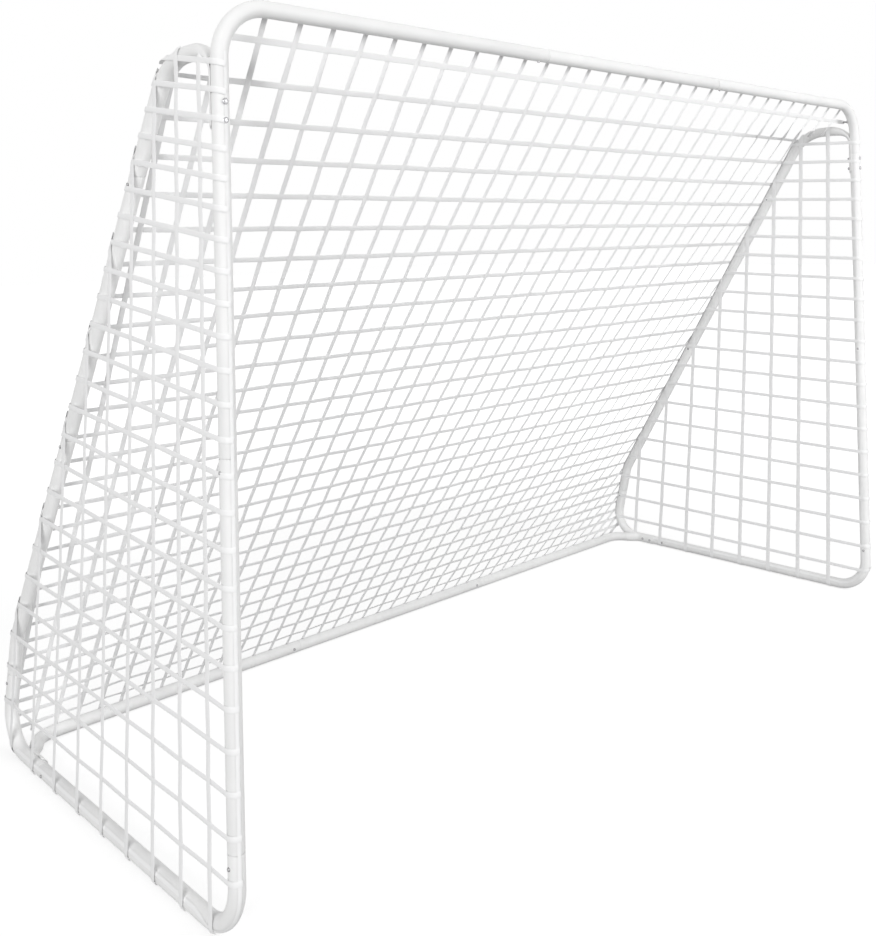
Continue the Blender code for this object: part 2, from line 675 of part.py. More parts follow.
def build_nets(cord, parent):
    """The back net between the two bars, and a net inside each side frame, in its middle plane."""
    start = Vector((0, 0, BAR_Z))
    down = Vector((0, BASE_DEPTH, GROUND_Z)) - start
    length = down.length
    down.normalize()
    clear = TUBE_RADIUS + TOUCH_GAP
    half = POST_X - SADDLE_OUTER - TOUCH_GAP
    cut_half = POST_X - max(FRONT_BEND, REAR_BAR_BEND + BESIDE)
    outline = [
        (-cut_half, clear), (cut_half, clear), (half, clear + NET_CORNER_CUT),
        (half, length - clear - NET_CORNER_CUT), (cut_half, length - clear),
        (-cut_half, length - clear), (-half, length - clear - NET_CORNER_CUT),
        (-half, clear + NET_CORNER_CUT),
    ]
    columns = 2 * int(half / BACK_NET_PITCH_X) + 1
    first_column = -BACK_NET_PITCH_X * (columns - 1) / 2
    add_net(
        "net_back", outline, lines_between(first_column, BACK_NET_PITCH_X, half),
        lines_between(clear + BACK_NET_PITCH_DOWN, BACK_NET_PITCH_DOWN, length - clear),
        lambda u, v: start + Vector((u, 0, 0)) + down * v, Vector((1, 0, 0)).cross(down), cord, parent,
    )
    corners = [Vector((y, z, 0)) for y, z in side_outline()]
    inset = []
    for before, corner, after in zip(corners[-1:] + corners[:-1], corners, corners[1:] + corners[:1]):
        incoming = (corner - before).normalized()
        outgoing = (after - corner).normalized()
        bisector = (outgoing - incoming).normalized()
        half_turn = incoming.angle(outgoing) / 2
        inset.append(corner + bisector * (SIDE_NET_INSET / math.cos(half_turn)))
    rounded = round_corners(inset, [FRONT_BEND, REAR_BEND, KINK_BEND, ARCH_REAR_BEND, ARCH_FRONT_BEND])
    for side_name, sign in (("left", -1), ("right", 1)):
        x = sign * POST_X
        add_net(
            "net_" + side_name, rounded, lines_between(SIDE_NET_FIRST_LINE_Y, SIDE_NET_PITCH_Y, BASE_DEPTH),
            lines_between(SIDE_NET_FIRST_LINE_Z, SIDE_NET_PITCH_Z, ARCH_Z),
            lambda u, v, x=x: Vector((x, u, v)), Vector((1, 0, 0)), cord, parent,
        )


def round_corners(corners, radii):
    """A flat closed outline with each corner cut to a short arc of two chords."""
    rounded = []
    for before, corner, after, radius in zip(corners[-1:] + corners[:-1], corners,
                                             corners[1:] + corners[:1], radii):
        incoming = (corner - before).normalized()
        outgoing = (after - corner).normalized()
        turn = incoming.angle(outgoing)
        reach = (radius - SIDE_NET_INSET) * math.tan(turn / 2)
        start = corner - incoming * reach
        toward_centre = (outgoing - incoming * incoming.dot(outgoing)).normalized()
        centre = start + toward_centre * (radius - SIDE_NET_INSET)
        steps = max(1, round(turn / (2 * BEND_STEP)))
        for step in range(steps + 1):
            angle = turn * step / steps
            point = centre + (incoming * math.sin(angle) - toward_centre * math.cos(angle)) * (
                radius - SIDE_NET_INSET)
            rounded.append((point.x, point.y))
    return rounded


def outline_middle():
    """The middle of the goal's outline along Y, from the bolt heads to the rear corners."""
    front = -(TUBE_RADIUS + TOUCH_GAP + BOLT_HEAD_HEIGHT)
    turn = math.atan2(KINK_HEIGHT - GROUND_Z, KINK_Y - REAR_CORNER_Y)
    rear = REAR_CORNER_Y - REAR_BEND * math.tan(turn / 2) + REAR_BEND + TUBE_RADIUS
    return (front + rear) / 2


def main():
    for old in list(bpy.data.objects):
        bpy.data.objects.remove(old)
    origin = bpy.data.objects.new("goal_origin", None)
    bpy.context.scene.collection.objects.link(origin)
    origin.location = (0, -outline_middle(), 0)
    steel = material("white_powder_coat", (0.87, 0.87, 0.87), 0.0, 0.35)
    spring = material("spring_steel", (0.35, 0.35, 0.36), 1.0, 0.35)
    zinc = material("zinc_plate", (0.45, 0.45, 0.46), 1.0, 0.30)
    cord = material("net_cord", (0.74, 0.74, 0.74), 0.0, 0.80)
    finishes = (steel, spring, zinc)
    build_bars(finishes, origin)
    for side_name, sign in (("left", -1), ("right", 1)):
        build_side(side_name, sign, finishes, origin)
    build_nets(cord, origin)


CUTTER_FINISH = material("cutter", (1.0, 0.2, 0.1), 0.0, 0.5)
main()
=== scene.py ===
"""Portable soccer goal: the finished look of its steel frame, fasteners, spring buttons and nets.

Points are written with the goal line at y = 0, and are moved to the CAD's own frame as they are built.
"""

import logging
import math
from collections.abc import Callable, Sequence
from dataclasses import dataclass, field
from enum import Enum

import bmesh
import bpy
from mathutils import Matrix, Vector


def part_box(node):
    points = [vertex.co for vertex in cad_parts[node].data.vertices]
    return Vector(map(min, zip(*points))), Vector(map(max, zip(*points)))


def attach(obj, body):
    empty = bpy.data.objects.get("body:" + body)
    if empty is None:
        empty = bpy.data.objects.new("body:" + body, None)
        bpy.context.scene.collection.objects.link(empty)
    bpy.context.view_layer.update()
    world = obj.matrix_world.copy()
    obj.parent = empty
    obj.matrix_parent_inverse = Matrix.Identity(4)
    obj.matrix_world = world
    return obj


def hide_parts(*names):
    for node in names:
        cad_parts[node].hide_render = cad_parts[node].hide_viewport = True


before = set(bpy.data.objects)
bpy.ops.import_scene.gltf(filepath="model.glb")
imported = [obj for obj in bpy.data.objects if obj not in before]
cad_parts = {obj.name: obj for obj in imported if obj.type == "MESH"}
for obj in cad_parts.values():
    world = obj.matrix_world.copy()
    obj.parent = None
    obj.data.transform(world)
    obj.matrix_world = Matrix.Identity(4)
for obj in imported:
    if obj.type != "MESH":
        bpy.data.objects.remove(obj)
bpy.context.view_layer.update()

LOG = logging.getLogger("goal")

RIGHT = Vector((1, 0, 0))
BACK = Vector((0, 1, 0))
UP = Vector((0, 0, 1))
FULL_TURN = 2 * math.pi
EYE = (-2.3961, -1.7061, 1.3396)
FLOOR_GAP = 0.0002
SHARP_TURN = 38.0
FASTENER_SIDES = 32
CUTTER_SIDES = 24
Ring = list[Vector]
Station = tuple[Vector, Vector]
Cord = tuple[Vector, Vector, float]
Mark = tuple[float, int]
End = tuple[float, Vector, Vector]
Hole = tuple[Vector, Vector, float, float, float]


def eased(share: float) -> float:
    """A share of 0 to 1 that starts and ends slowly."""
    return share * share * (3 - 2 * share)


def swung(start: Vector, towards: Vector, angle: float) -> Vector:
    """The direction this many radians round from one direction towards another, square to it."""
    return start * math.cos(angle) + towards * math.sin(angle)


class Side(Enum):
    """Which side of the goal, as seen from the field."""

    LEFT = -1
    RIGHT = 1

    @property
    def label(self) -> str:
        """The side's name as the nodes spell it."""
        return self.name.lower()


class TubeEnd(Enum):
    """How a tube ends: open to take another tube, or narrowed to slide into one."""

    MOUTH = "mouth"
    SPIGOT = "spigot"


class Slot(Enum):
    """The record's material slots."""

    POWDER_COAT = "powder_coated_steel"
    SPRING = "spring_steel"
    ZINC = "zinc_steel"
    CORD = "net_cord"


@dataclass(frozen=True)
class TubeStock:
    """The tube stock and the sizes that follow from it, in metres."""

    radius: float = 0.0175
    wall: float = 0.0012
    slip: float = 0.0003
    gap: float = 0.0003
    spigot_length: float = 0.062
    shoulder_length: float = 0.003
    crush_thickness: float = 0.0032
    hole_clearance: float = 0.0003
    sides: int = 48
    bend_step: float = math.radians(3)

    @property
    def bore(self) -> float:
        """The bore's radius."""
        return self.radius - self.wall

    @property
    def spigot(self) -> float:
        """A spigot's outer radius."""
        return self.bore - self.slip

    @property
    def spigot_bore(self) -> float:
        """A spigot's bore radius."""
        return self.spigot - self.wall

    @property
    def beside(self) -> float:
        """How far apart the axes of two tubes are that lie side by side."""
        return 2 * self.radius + self.gap

    @property
    def saddle_inner(self) -> float:
        """The radius of the side of a saddle that hugs a tube."""
        return self.radius + self.gap

    @property
    def saddle_outer(self) -> float:
        """The radius of a saddle's far side."""
        return self.saddle_inner + self.crush_thickness


STOCK = TubeStock()


@dataclass(frozen=True)
class Layout:
    """Where the frame's axes and joints lie, in metres, with the goal line at y = 0."""

    depth: float = 1.108
    post_x: float = 1.354
    bar_z: float = 1.8115
    ground_z: float = 0.0175
    corner_z: float = 1.636
    post_middle_z: float = 0.938
    post_foot_z: float = 0.190
    base_part_y: float = 0.915
    rear_corner_y: float = 1.149
    rear_corner_z: float = 0.213
    kink_y: float = 1.073
    kink_z: float = 0.317
    brace_middle_z: float = 0.890
    arch_y: float = 0.199
    arch_z: float = 1.728
    arch_part_z: float = 1.503
    crossbar_middle: float = 0.800
    rear_bar_middle: float = 0.854
    fastener_tip: float = 0.0175
    fastener_spacing: float = 0.036
    front_bend: float = 0.108
    rear_bend: float = 0.090
    kink_bend: float = 0.120
    arch_rear_bend: float = 0.140
    arch_front_bend: float = 0.055

    @property
    def rear_corners(self) -> list[tuple[float, float]]:
        """A side frame's rear corner, kink and arch corner, as (y, z)."""
        return [(self.rear_corner_y, self.ground_z), (self.kink_y, self.kink_z), (self.arch_y, self.arch_z)]

    @property
    def rear_bends(self) -> tuple[float, float, float]:
        """The bends at those corners."""
        return self.rear_bend, self.kink_bend, self.arch_rear_bend

    def brace_y(self, z: float) -> float:
        """Where the straight brace is at this height."""
        return self.kink_y + (self.arch_y - self.kink_y) * (z - self.kink_z) / (self.arch_z - self.kink_z)

    def riser_y(self, z: float) -> float:
        """Where the steep run between the rear corner and the kink is at this height."""
        share = (z - self.ground_z) / (self.kink_z - self.ground_z)
        return self.rear_corner_y + (self.kink_y - self.rear_corner_y) * share

    @property
    def bolt_heights(self) -> tuple[float, float]:
        """The heights of a post's upper and lower bolts."""
        high = self.corner_z - self.fastener_tip
        return high, high - self.fastener_spacing

    @property
    def screw_places(self) -> tuple[float, float]:
        """How far back a base's front and rear screws are."""
        front = self.base_part_y + self.fastener_tip * 2
        return front, front + self.fastener_spacing


LAYOUT = Layout()


def goal_line() -> Vector:
    """Where the goal line's middle lies in the CAD's frame.

    Returns:
        The move from the points as written here to the CAD's frame.
    """
    low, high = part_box("crossbar_middle")
    return Vector((0, (low[1] + high[1]) / 2, 0))


GOAL_LINE = goal_line()


class NodeGraph:
    """The nodes of a material or of the sky, under construction."""

    def __init__(self, tree: bpy.types.NodeTree) -> None:
        """Starts with the nodes that are there."""
        self.tree = tree

    def node(self, kind: str, sockets: dict[str, object] | None = None, **settings: object) -> bpy.types.Node:
        """Adds a node.

        Args:
            kind: the node's type.
            sockets: values for its inputs, each a constant or another node's output.
            **settings: values for its properties.

        Returns:
            The new node.
        """
        made = self.tree.nodes.new(kind)
        for key, value in settings.items():
            setattr(made, key, value)
        for key, value in (sockets or {}).items():
            self.feed(made.inputs[key], value)
        return made

    def feed(self, socket: bpy.types.NodeSocket, value: object) -> None:
        """Links or sets an input.

        Args:
            socket: the input.
            value: an output to link, or a constant.
        """
        if isinstance(value, bpy.types.NodeSocket):
            self.tree.links.new(value, socket)
        else:
            socket.default_value = value

    def place(self) -> bpy.types.NodeSocket:
        """The point on the object, in metres."""
        return self.node("ShaderNodeTexCoord").outputs["Object"]

    def noise(self, where: bpy.types.NodeSocket, scale: float, detail: float = 2.0) -> bpy.types.NodeSocket:
        """Cloudy noise.

        Args:
            where: the point to read it at.
            scale: how many clouds there are to a metre.
            detail: how many finer layers it has.

        Returns:
            The noise's strength, 0 to 1.
        """
        made = self.node("ShaderNodeTexNoise", {"Vector": where, "Scale": scale, "Detail": detail})
        return made.outputs["Fac"]

    def remap(self, value: bpy.types.NodeSocket, start: tuple[float, float],
              end: tuple[float, float]) -> bpy.types.NodeSocket:
        """Maps one range to another.

        Args:
            value: the number.
            start: the range that it comes from.
            end: the range that it goes to.

        Returns:
            The mapped number.
        """
        sockets = {"Value": value, "From Min": start[0], "From Max": start[1],
                   "To Min": end[0], "To Max": end[1]}
        return self.node("ShaderNodeMapRange", sockets).outputs["Result"]

    def blend(self, share: bpy.types.NodeSocket, first: Sequence[float],
              second: Sequence[float]) -> bpy.types.NodeSocket:
        """Mixes two colours.

        Args:
            share: how much of the second there is.
            first: the first colour.
            second: the second colour.

        Returns:
            The mixed colour.
        """
        made = self.node("ShaderNodeMix", data_type="RGBA")
        self.feed(made.inputs[0], share)
        for socket, colour in ((made.inputs[6], first), (made.inputs[7], second)):
            self.feed(socket, colour if isinstance(colour, bpy.types.NodeSocket) else (*colour, 1.0))
        return made.outputs[2]

    def maths(self, operation: str, first: object, second: object = 0.0) -> bpy.types.NodeSocket:
        """A sum of two numbers.

        Args:
            operation: which sum.
            first: a number or an output.
            second: a number or an output.

        Returns:
            Its result.
        """
        made = self.node("ShaderNodeMath", operation=operation)
        self.feed(made.inputs[0], first)
        self.feed(made.inputs[1], second)
        return made.outputs[0]

    def bump(self, height: bpy.types.NodeSocket, distance: float, strength: float = 1.0,
             under: bpy.types.NodeSocket | None = None) -> bpy.types.NodeSocket:
        """Raises the surface's shading by a height.

        Args:
            height: the height, 0 to 1.
            distance: how high 1 is, in metres.
            strength: how much of it shows.
            under: a bump below this one.

        Returns:
            The bent normal.
        """
        sockets = {"Height": height, "Distance": distance, "Strength": strength}
        if under is not None:
            sockets["Normal"] = under
        return self.node("ShaderNodeBump", sockets).outputs["Normal"]

    def seen(self) -> bpy.types.NodeSocket:
        """1 for what the camera sees, also in or through something glossy, and 0 for other light."""
        rays = self.node("ShaderNodeLightPath").outputs
        direct = self.maths("MAXIMUM", rays["Is Camera Ray"], rays["Is Glossy Ray"])
        return self.maths("MAXIMUM", direct, rays["Is Transmission Ray"])


class MaterialGraph(NodeGraph):
    """A material under construction, with its Principled shader."""

    def __init__(self, name: str) -> None:
        """Starts a material of this name."""
        self.material = bpy.data.materials.new(name)
        self.material.use_nodes = True
        super().__init__(self.material.node_tree)
        self.shader = self.tree.nodes["Principled BSDF"]

    def dress(self, **inputs: object) -> bpy.types.Material:
        """Sets the shader's inputs.

        Args:
            **inputs: values by input name, with underscores for spaces.

        Returns:
            The finished material.
        """
        for key, value in inputs.items():
            self.feed(self.shader.inputs[key.replace("_", " ")], value)
        return self.material


@dataclass(frozen=True)
class PowderCoat:
    """White powder coat on steel: cloudy white with orange peel, and dust that settles near the ground."""

    white: tuple[float, float, float] = (0.885, 0.885, 0.882)
    cloud: tuple[float, float, float] = (0.845, 0.846, 0.845)
    dust: tuple[float, float, float] = (0.70, 0.69, 0.67)
    dust_height: float = 0.06
    peel_size: float = 0.0022
    peel_depth: float = 0.00003
    clouds_per_metre: float = 9.0
    specks_per_metre: float = 70.0
    grain_per_metre: float = 2600.0
    grain_depth: float = 0.000006

    def material(self) -> bpy.types.Material:
        """The finish as a material."""
        graph = MaterialGraph("white_powder_coat")
        where = graph.place()
        clouds = graph.remap(graph.noise(where, self.clouds_per_metre, 5.0), (0.35, 0.65), (0.0, 1.0))
        coat = graph.blend(clouds, self.white, self.cloud)
        height = graph.node("ShaderNodeSeparateXYZ", {"Vector": where}).outputs["Z"]
        low = graph.remap(height, (0.0, self.dust_height), (0.30, 0.0))
        specks = graph.remap(graph.noise(where, self.specks_per_metre, 6.0), (0.48, 0.72), (0.0, 1.0))
        dusty = graph.maths("MULTIPLY", low, specks)
        colour = graph.blend(dusty, coat, self.dust)
        peel = graph.noise(where, 1 / self.peel_size, 2.0)
        grain = graph.noise(where, self.grain_per_metre, 1.0)
        soft = graph.bump(peel, self.peel_depth, 0.55)
        return graph.dress(
            Base_Color=colour, Metallic=0.0, Roughness=graph.remap(peel, (0.3, 0.7), (0.40, 0.50)),
            Specular_IOR_Level=0.22, Normal=graph.bump(grain, self.grain_depth, 0.5, soft),
        )


@dataclass(frozen=True)
class SpringSteel:
    """Plated spring steel with a fine drawn grain and dull specks."""

    bright: tuple[float, float, float] = (0.42, 0.42, 0.43)
    dull: tuple[float, float, float] = (0.24, 0.235, 0.23)

    def material(self) -> bpy.types.Material:
        """The finish as a material."""
        graph = MaterialGraph("plated_spring_steel")
        where = graph.place()
        drawn = graph.node("ShaderNodeMapping", {"Vector": where, "Scale": (400.0, 2600.0, 2600.0)})
        grain = graph.noise(drawn.outputs["Vector"], 1.0, 3.0)
        stains = graph.remap(graph.noise(where, 420.0, 4.0), (0.42, 0.68), (0.0, 1.0))
        return graph.dress(
            Base_Color=graph.blend(stains, self.bright, self.dull), Metallic=1.0,
            Roughness=graph.remap(grain, (0.3, 0.7), (0.28, 0.46)),
            Normal=graph.bump(grain, 0.00001, 0.5),
        )


@dataclass(frozen=True)
class ZincPlate:
    """Bright zinc plate with a fine spangle and duller patches."""

    bright: tuple[float, float, float] = (0.55, 0.55, 0.56)
    dull: tuple[float, float, float] = (0.32, 0.32, 0.33)

    def material(self) -> bpy.types.Material:
        """The finish as a material."""
        graph = MaterialGraph("bright_zinc_plate")
        where = graph.place()
        spangle = graph.node("ShaderNodeTexVoronoi", {"Vector": where, "Scale": 900.0})
        patches = graph.remap(graph.noise(where, 260.0, 3.0), (0.40, 0.66), (0.0, 1.0))
        shade = graph.maths("MULTIPLY", spangle.outputs["Distance"], 0.5)
        share = graph.maths("ADD", graph.maths("MULTIPLY", patches, 0.6), shade)
        return graph.dress(
            Base_Color=graph.blend(share, self.bright, self.dull), Metallic=1.0,
            Roughness=graph.remap(patches, (0.0, 1.0), (0.26, 0.44)),
            Normal=graph.bump(spangle.outputs["Distance"], 0.000012, 0.4),
        )


@dataclass(frozen=True)
class NetCord:
    """Flat white braid: slanting plaits across its width, painted shade in the grooves between them, faint
    darker clouds, and fine yarns in its roughness and bump.
    """

    white: tuple[float, float, float] = (0.94, 0.94, 0.942)
    shade_and_mottle_grey: tuple[float, float, float] = (0.90, 0.902, 0.905)
    plait: float = 0.0036

    def material(self) -> bpy.types.Material:
        """The finish as a material."""
        graph = MaterialGraph("white_net_braid")
        where = graph.place()
        uv = graph.node("ShaderNodeUVMap", uv_map="braid").outputs["UV"]
        axes = graph.node("ShaderNodeSeparateXYZ", {"Vector": uv})
        along = graph.maths("MULTIPLY", axes.outputs["X"], FULL_TURN / self.plait)
        across = graph.maths("MULTIPLY", axes.outputs["Y"], FULL_TURN / self.plait)
        one = graph.maths("SINE", graph.maths("ADD", along, across))
        other = graph.maths("SINE", graph.maths("SUBTRACT", along, across))
        plaits = graph.maths("MAXIMUM", one, other)
        yarns = graph.noise(where, 1500.0, 3.0)
        # Painted shade: the braid's colour darkens in the grooves between the plaits, where the plaits' bump
        # is low.
        shade = graph.remap(plaits, (-0.8, 0.9), (0.75, 0.0))
        # The darker colour's share is seven parts painted groove shade and three parts random clouds.
        groove_shade_and_mottle = graph.maths("ADD", graph.maths("MULTIPLY", shade, 0.7),
                              graph.maths("MULTIPLY", graph.noise(where, 14.0, 3.0), 0.3))
        soft = graph.bump(graph.remap(plaits, (-1.0, 1.0), (0.0, 1.0)), 0.0003, 0.8)
        return graph.dress(
            Base_Color=graph.blend(groove_shade_and_mottle, self.white, self.shade_and_mottle_grey), Metallic=0.0,
            Roughness=graph.remap(yarns, (0.3, 0.7), (0.72, 0.88)), Specular_IOR_Level=0.25,
            Sheen_Weight=0.15, Sheen_Roughness=0.5, Normal=graph.bump(yarns, 0.00006, 0.6, soft),
        )


@dataclass(frozen=True)
class Finishes:
    """The goal's materials by slot."""

    by_slot: dict[Slot, bpy.types.Material] = field(default_factory=lambda: {
        Slot.POWDER_COAT: PowderCoat().material(),
        Slot.SPRING: SpringSteel().material(),
        Slot.ZINC: ZincPlate().material(),
        Slot.CORD: NetCord().material(),
    })


FINISHES = Finishes()


class MeshMaker:
    """A mesh under construction, written with the goal line at y = 0."""

    def __init__(self) -> None:
        """Starts an empty mesh."""
        self.mesh = bmesh.new()

    def ring(self, points: Ring) -> list[bmesh.types.BMVert]:
        """Adds one ring of points."""
        return [self.mesh.verts.new(point + GOAL_LINE) for point in points]

    def bridge(self, first: list[bmesh.types.BMVert], second: list[bmesh.types.BMVert]) -> None:
        """Joins two rings of the same count, or a ring and a single point."""
        count = max(len(first), len(second))
        for i in range(count):
            j = (i + 1) % count
            if len(first) == 1:
                corners = (first[0], second[j], second[i])
            elif len(second) == 1:
                corners = (first[i], first[j], second[0])
            else:
                corners = (first[i], first[j], second[j], second[i])
            self.mesh.faces.new(corners)

    def skin(self, rings: Sequence[Ring]) -> list[list[bmesh.types.BMVert]]:
        """Joins a row of rings to a skin.

        Args:
            rings: the rings in order.

        Returns:
            Their vertices.
        """
        rows = [self.ring(points) for points in rings]
        for first, second in zip(rows, rows[1:]):
            self.bridge(first, second)
        return rows

    def block(self, rings: Sequence[Ring]) -> None:
        """Joins a row of rings to a solid with flat ends."""
        rows = self.skin(rings)
        self.mesh.faces.new(rows[0])
        self.mesh.faces.new(rows[-1])

    def lathe(self, profile: Sequence[tuple[float, float]], sides: int, origin: Vector, axis: Vector,
              shape: Callable[[float, float, float], float] | None = None) -> None:
        """Turns a profile into a closed solid.

        Args:
            profile: (radius, distance along the axis) points; end radii of 0 close it.
            sides: how many facets go round.
            origin: where distance 0 is.
            axis: the turning axis.
            shape: gives the radius at a point from (radius, distance, angle).
        """
        across = axis.orthogonal().normalized()
        other = axis.cross(across)
        rings = []
        for radius, along in profile:
            centre = origin + axis * along
            if radius == 0:
                rings.append([centre])
                continue
            points = []
            for i in range(sides):
                angle = FULL_TURN * i / sides
                reach = shape(radius, along, angle) if shape else radius
                points.append(centre + swung(across, other, angle) * reach)
            rings.append(points)
        self.skin(rings)

    def piece(self, name: str, sharp: float = SHARP_TURN) -> bpy.types.Object:
        """Ends the mesh.

        Args:
            name: the object's name.
            sharp: edges that turn more than this many degrees stay sharp.

        Returns:
            The object, in the scene.
        """
        bmesh.ops.recalc_face_normals(self.mesh, faces=self.mesh.faces)
        data = bpy.data.meshes.new(name)
        self.mesh.to_mesh(data)
        self.mesh.free()
        data.shade_smooth()
        data.set_sharp_from_angle(angle=math.radians(sharp))
        made = bpy.data.objects.new(name, data)
        bpy.context.scene.collection.objects.link(made)
        return made


def carve(piece: bpy.types.Object, tools: Sequence[bpy.types.Object], operation: str = "DIFFERENCE") -> None:
    """Cuts tools out of a piece, or joins them to it, and removes them.

    Args:
        piece: the piece to change.
        tools: closed meshes.
        operation: DIFFERENCE or UNION.
    """
    for tool in tools:
        step = piece.modifiers.new("carve", "BOOLEAN")
        step.operation = operation
        step.solver = "EXACT"
        step.object = tool
    bpy.context.view_layer.update()
    done = bpy.data.meshes.new_from_object(piece.evaluated_get(bpy.context.evaluated_depsgraph_get()))
    piece.modifiers.clear()
    before = piece.data
    piece.data = done
    bpy.data.meshes.remove(before)
    done.name = piece.name
    done.shade_smooth()
    done.set_sharp_from_angle(angle=math.radians(SHARP_TURN))
    for tool in tools:
        bpy.data.objects.remove(tool)


def hand_over(piece: bpy.types.Object, node: str, slot: Slot, body: str = "frame") -> None:
    """Dresses a piece and ties it to the CAD.

    Args:
        piece: the finished piece.
        node: the CAD node that it replaces.
        slot: its material slot.
        body: the CAD body that it rides on.
    """
    piece.data.materials.clear()
    piece.data.materials.append(FINISHES.by_slot[slot])
    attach(piece, body)
    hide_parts(node)
    LOG.info("%s: %d faces, rides on %s", piece.name, len(piece.data.polygons), body)


def hole_tool(origin: Vector, axis: Vector, radius: float, start: float, end: float) -> bpy.types.Object:
    """A round cutter.

    Args:
        origin: a point on its axis.
        axis: its direction.
        radius: its radius.
        start: where it starts along the axis.
        end: where it ends along the axis.

    Returns:
        The cutter.
    """
    maker = MeshMaker()
    maker.lathe([(0, start), (radius, start), (radius, end), (0, end)], CUTTER_SIDES, origin, axis)
    return maker.piece("cutter")


@dataclass
class BentPath:
    """A tube's axis: straight runs between corners, each inner corner an arc."""

    corners: Sequence[Vector]
    bends: Sequence[float] = ()

    def stations(self) -> list[Station]:
        """The axis's points with their directions, from the first corner to the last."""
        points = list(self.corners)
        found = [(points[0], (points[1] - points[0]).normalized())]
        for before, corner, after, radius in zip(points, points[1:], points[2:], self.bends):
            incoming = (corner - before).normalized()
            outgoing = (after - corner).normalized()
            turn = incoming.angle(outgoing)
            start = corner - incoming * radius * math.tan(turn / 2)
            inward = (outgoing - incoming * incoming.dot(outgoing)).normalized()
            steps = max(3, math.ceil(turn / STOCK.bend_step))
            for step in range(steps + 1):
                angle = turn * step / steps
                point = start + inward * radius * (1 - math.cos(angle)) + incoming * radius * math.sin(angle)
                found.append((point, swung(incoming, inward, angle)))
        found.append((points[-1], (points[-1] - points[-2]).normalized()))
        return found

    def short_of_end(self, distance: float) -> Station:
        """The point this far back from the axis's end, with its direction."""
        found = self.stations()
        for (near, near_way), (far, far_way) in zip(reversed(found), reversed(found[:-1])):
            length = (near - far).length
            if distance <= length:
                share = distance / length
                return near.lerp(far, share), near_way.lerp(far_way, share).normalized()
            distance -= length
        return found[0]


def round_section(point: Vector, way: Vector, side: Vector, radius: float) -> Ring:
    """A round section of a tube.

    Args:
        point: its middle.
        way: the tube's direction there.
        side: where its first corner lies, half a facet on.
        radius: its radius.

    Returns:
        The ring.
    """
    other = side.cross(way)
    angles = (FULL_TURN * (i + 0.5) / STOCK.sides for i in range(STOCK.sides))
    return [point + swung(side, other, angle) * radius for angle in angles]


@dataclass
class Tube:
    """A bent round tube, open at both ends, with its holes."""

    node: str
    path: BentPath
    side: Vector
    start: TubeEnd
    end: TubeEnd
    holes: list[Hole] = field(default_factory=list)
    rim: float = 0.0004
    shoulder_steps: int = 8

    def end_sections(self, point: Vector, outward: Vector, kind: TubeEnd,
                     inner: bool) -> list[tuple[Vector, float]]:
        """The sections at one end.

        Args:
            point: the joint.
            outward: the direction out of the tube.
            kind: how the tube ends.
            inner: whether the bore is asked for, not the outside.

        Returns:
            (point, radius) from inside the tube to its tip.
        """
        full = STOCK.bore if inner else STOCK.radius
        sign = 1 if inner else -1
        if kind is TubeEnd.MOUTH:
            rounding = ((1.0, 0.0), (0.62, 0.08), (0.29, 0.29), (0.08, 0.62), (0.0, 1.0))
            size = self.rim
            return [(point - outward * (STOCK.gap + back * size), full + sign * drop * size)
                    for back, drop in rounding]
        narrow = STOCK.spigot_bore if inner else STOCK.spigot
        found = []
        for step in range(self.shoulder_steps + 1):
            share = step / self.shoulder_steps
            narrowed = (1 - math.cos(math.pi * share)) / 2
            found.append((point - outward * STOCK.shoulder_length * (1 - share),
                          full + (narrow - full) * narrowed))
        tip = STOCK.spigot_length
        found += [(point + outward * (tip - self.rim), narrow),
                  (point + outward * tip, narrow + sign * self.rim * 0.8)]
        return found

    def skins(self, maker: MeshMaker) -> None:
        """Builds the outside and the bore.

        Args:
            maker: the mesh to build in.
        """
        path = self.path.stations()
        (first, first_way), (last, last_way) = path[0], path[-1]
        skins = []
        for inner in (False, True):
            radius = STOCK.bore if inner else STOCK.radius
            rings = [round_section(point, first_way, self.side, reach) for point, reach in reversed(
                self.end_sections(first, -first_way, self.start, inner))]
            rings += [round_section(point, way, self.side, radius) for point, way in path[1:-1]]
            rings += [round_section(point, last_way, self.side, reach) for point, reach in
                      self.end_sections(last, last_way, self.end, inner)]
            skins.append(maker.skin(rings))
        maker.bridge(skins[0][0], skins[1][0])
        maker.bridge(skins[0][-1], skins[1][-1])

    def build(self) -> None:
        """Builds, drills and hands over the tube."""
        maker = MeshMaker()
        self.skins(maker)
        made = maker.piece(self.node + "_tube")
        if self.holes:
            carve(made, [hole_tool(*hole) for hole in self.holes])
        hand_over(made, self.node, Slot.POWDER_COAT)


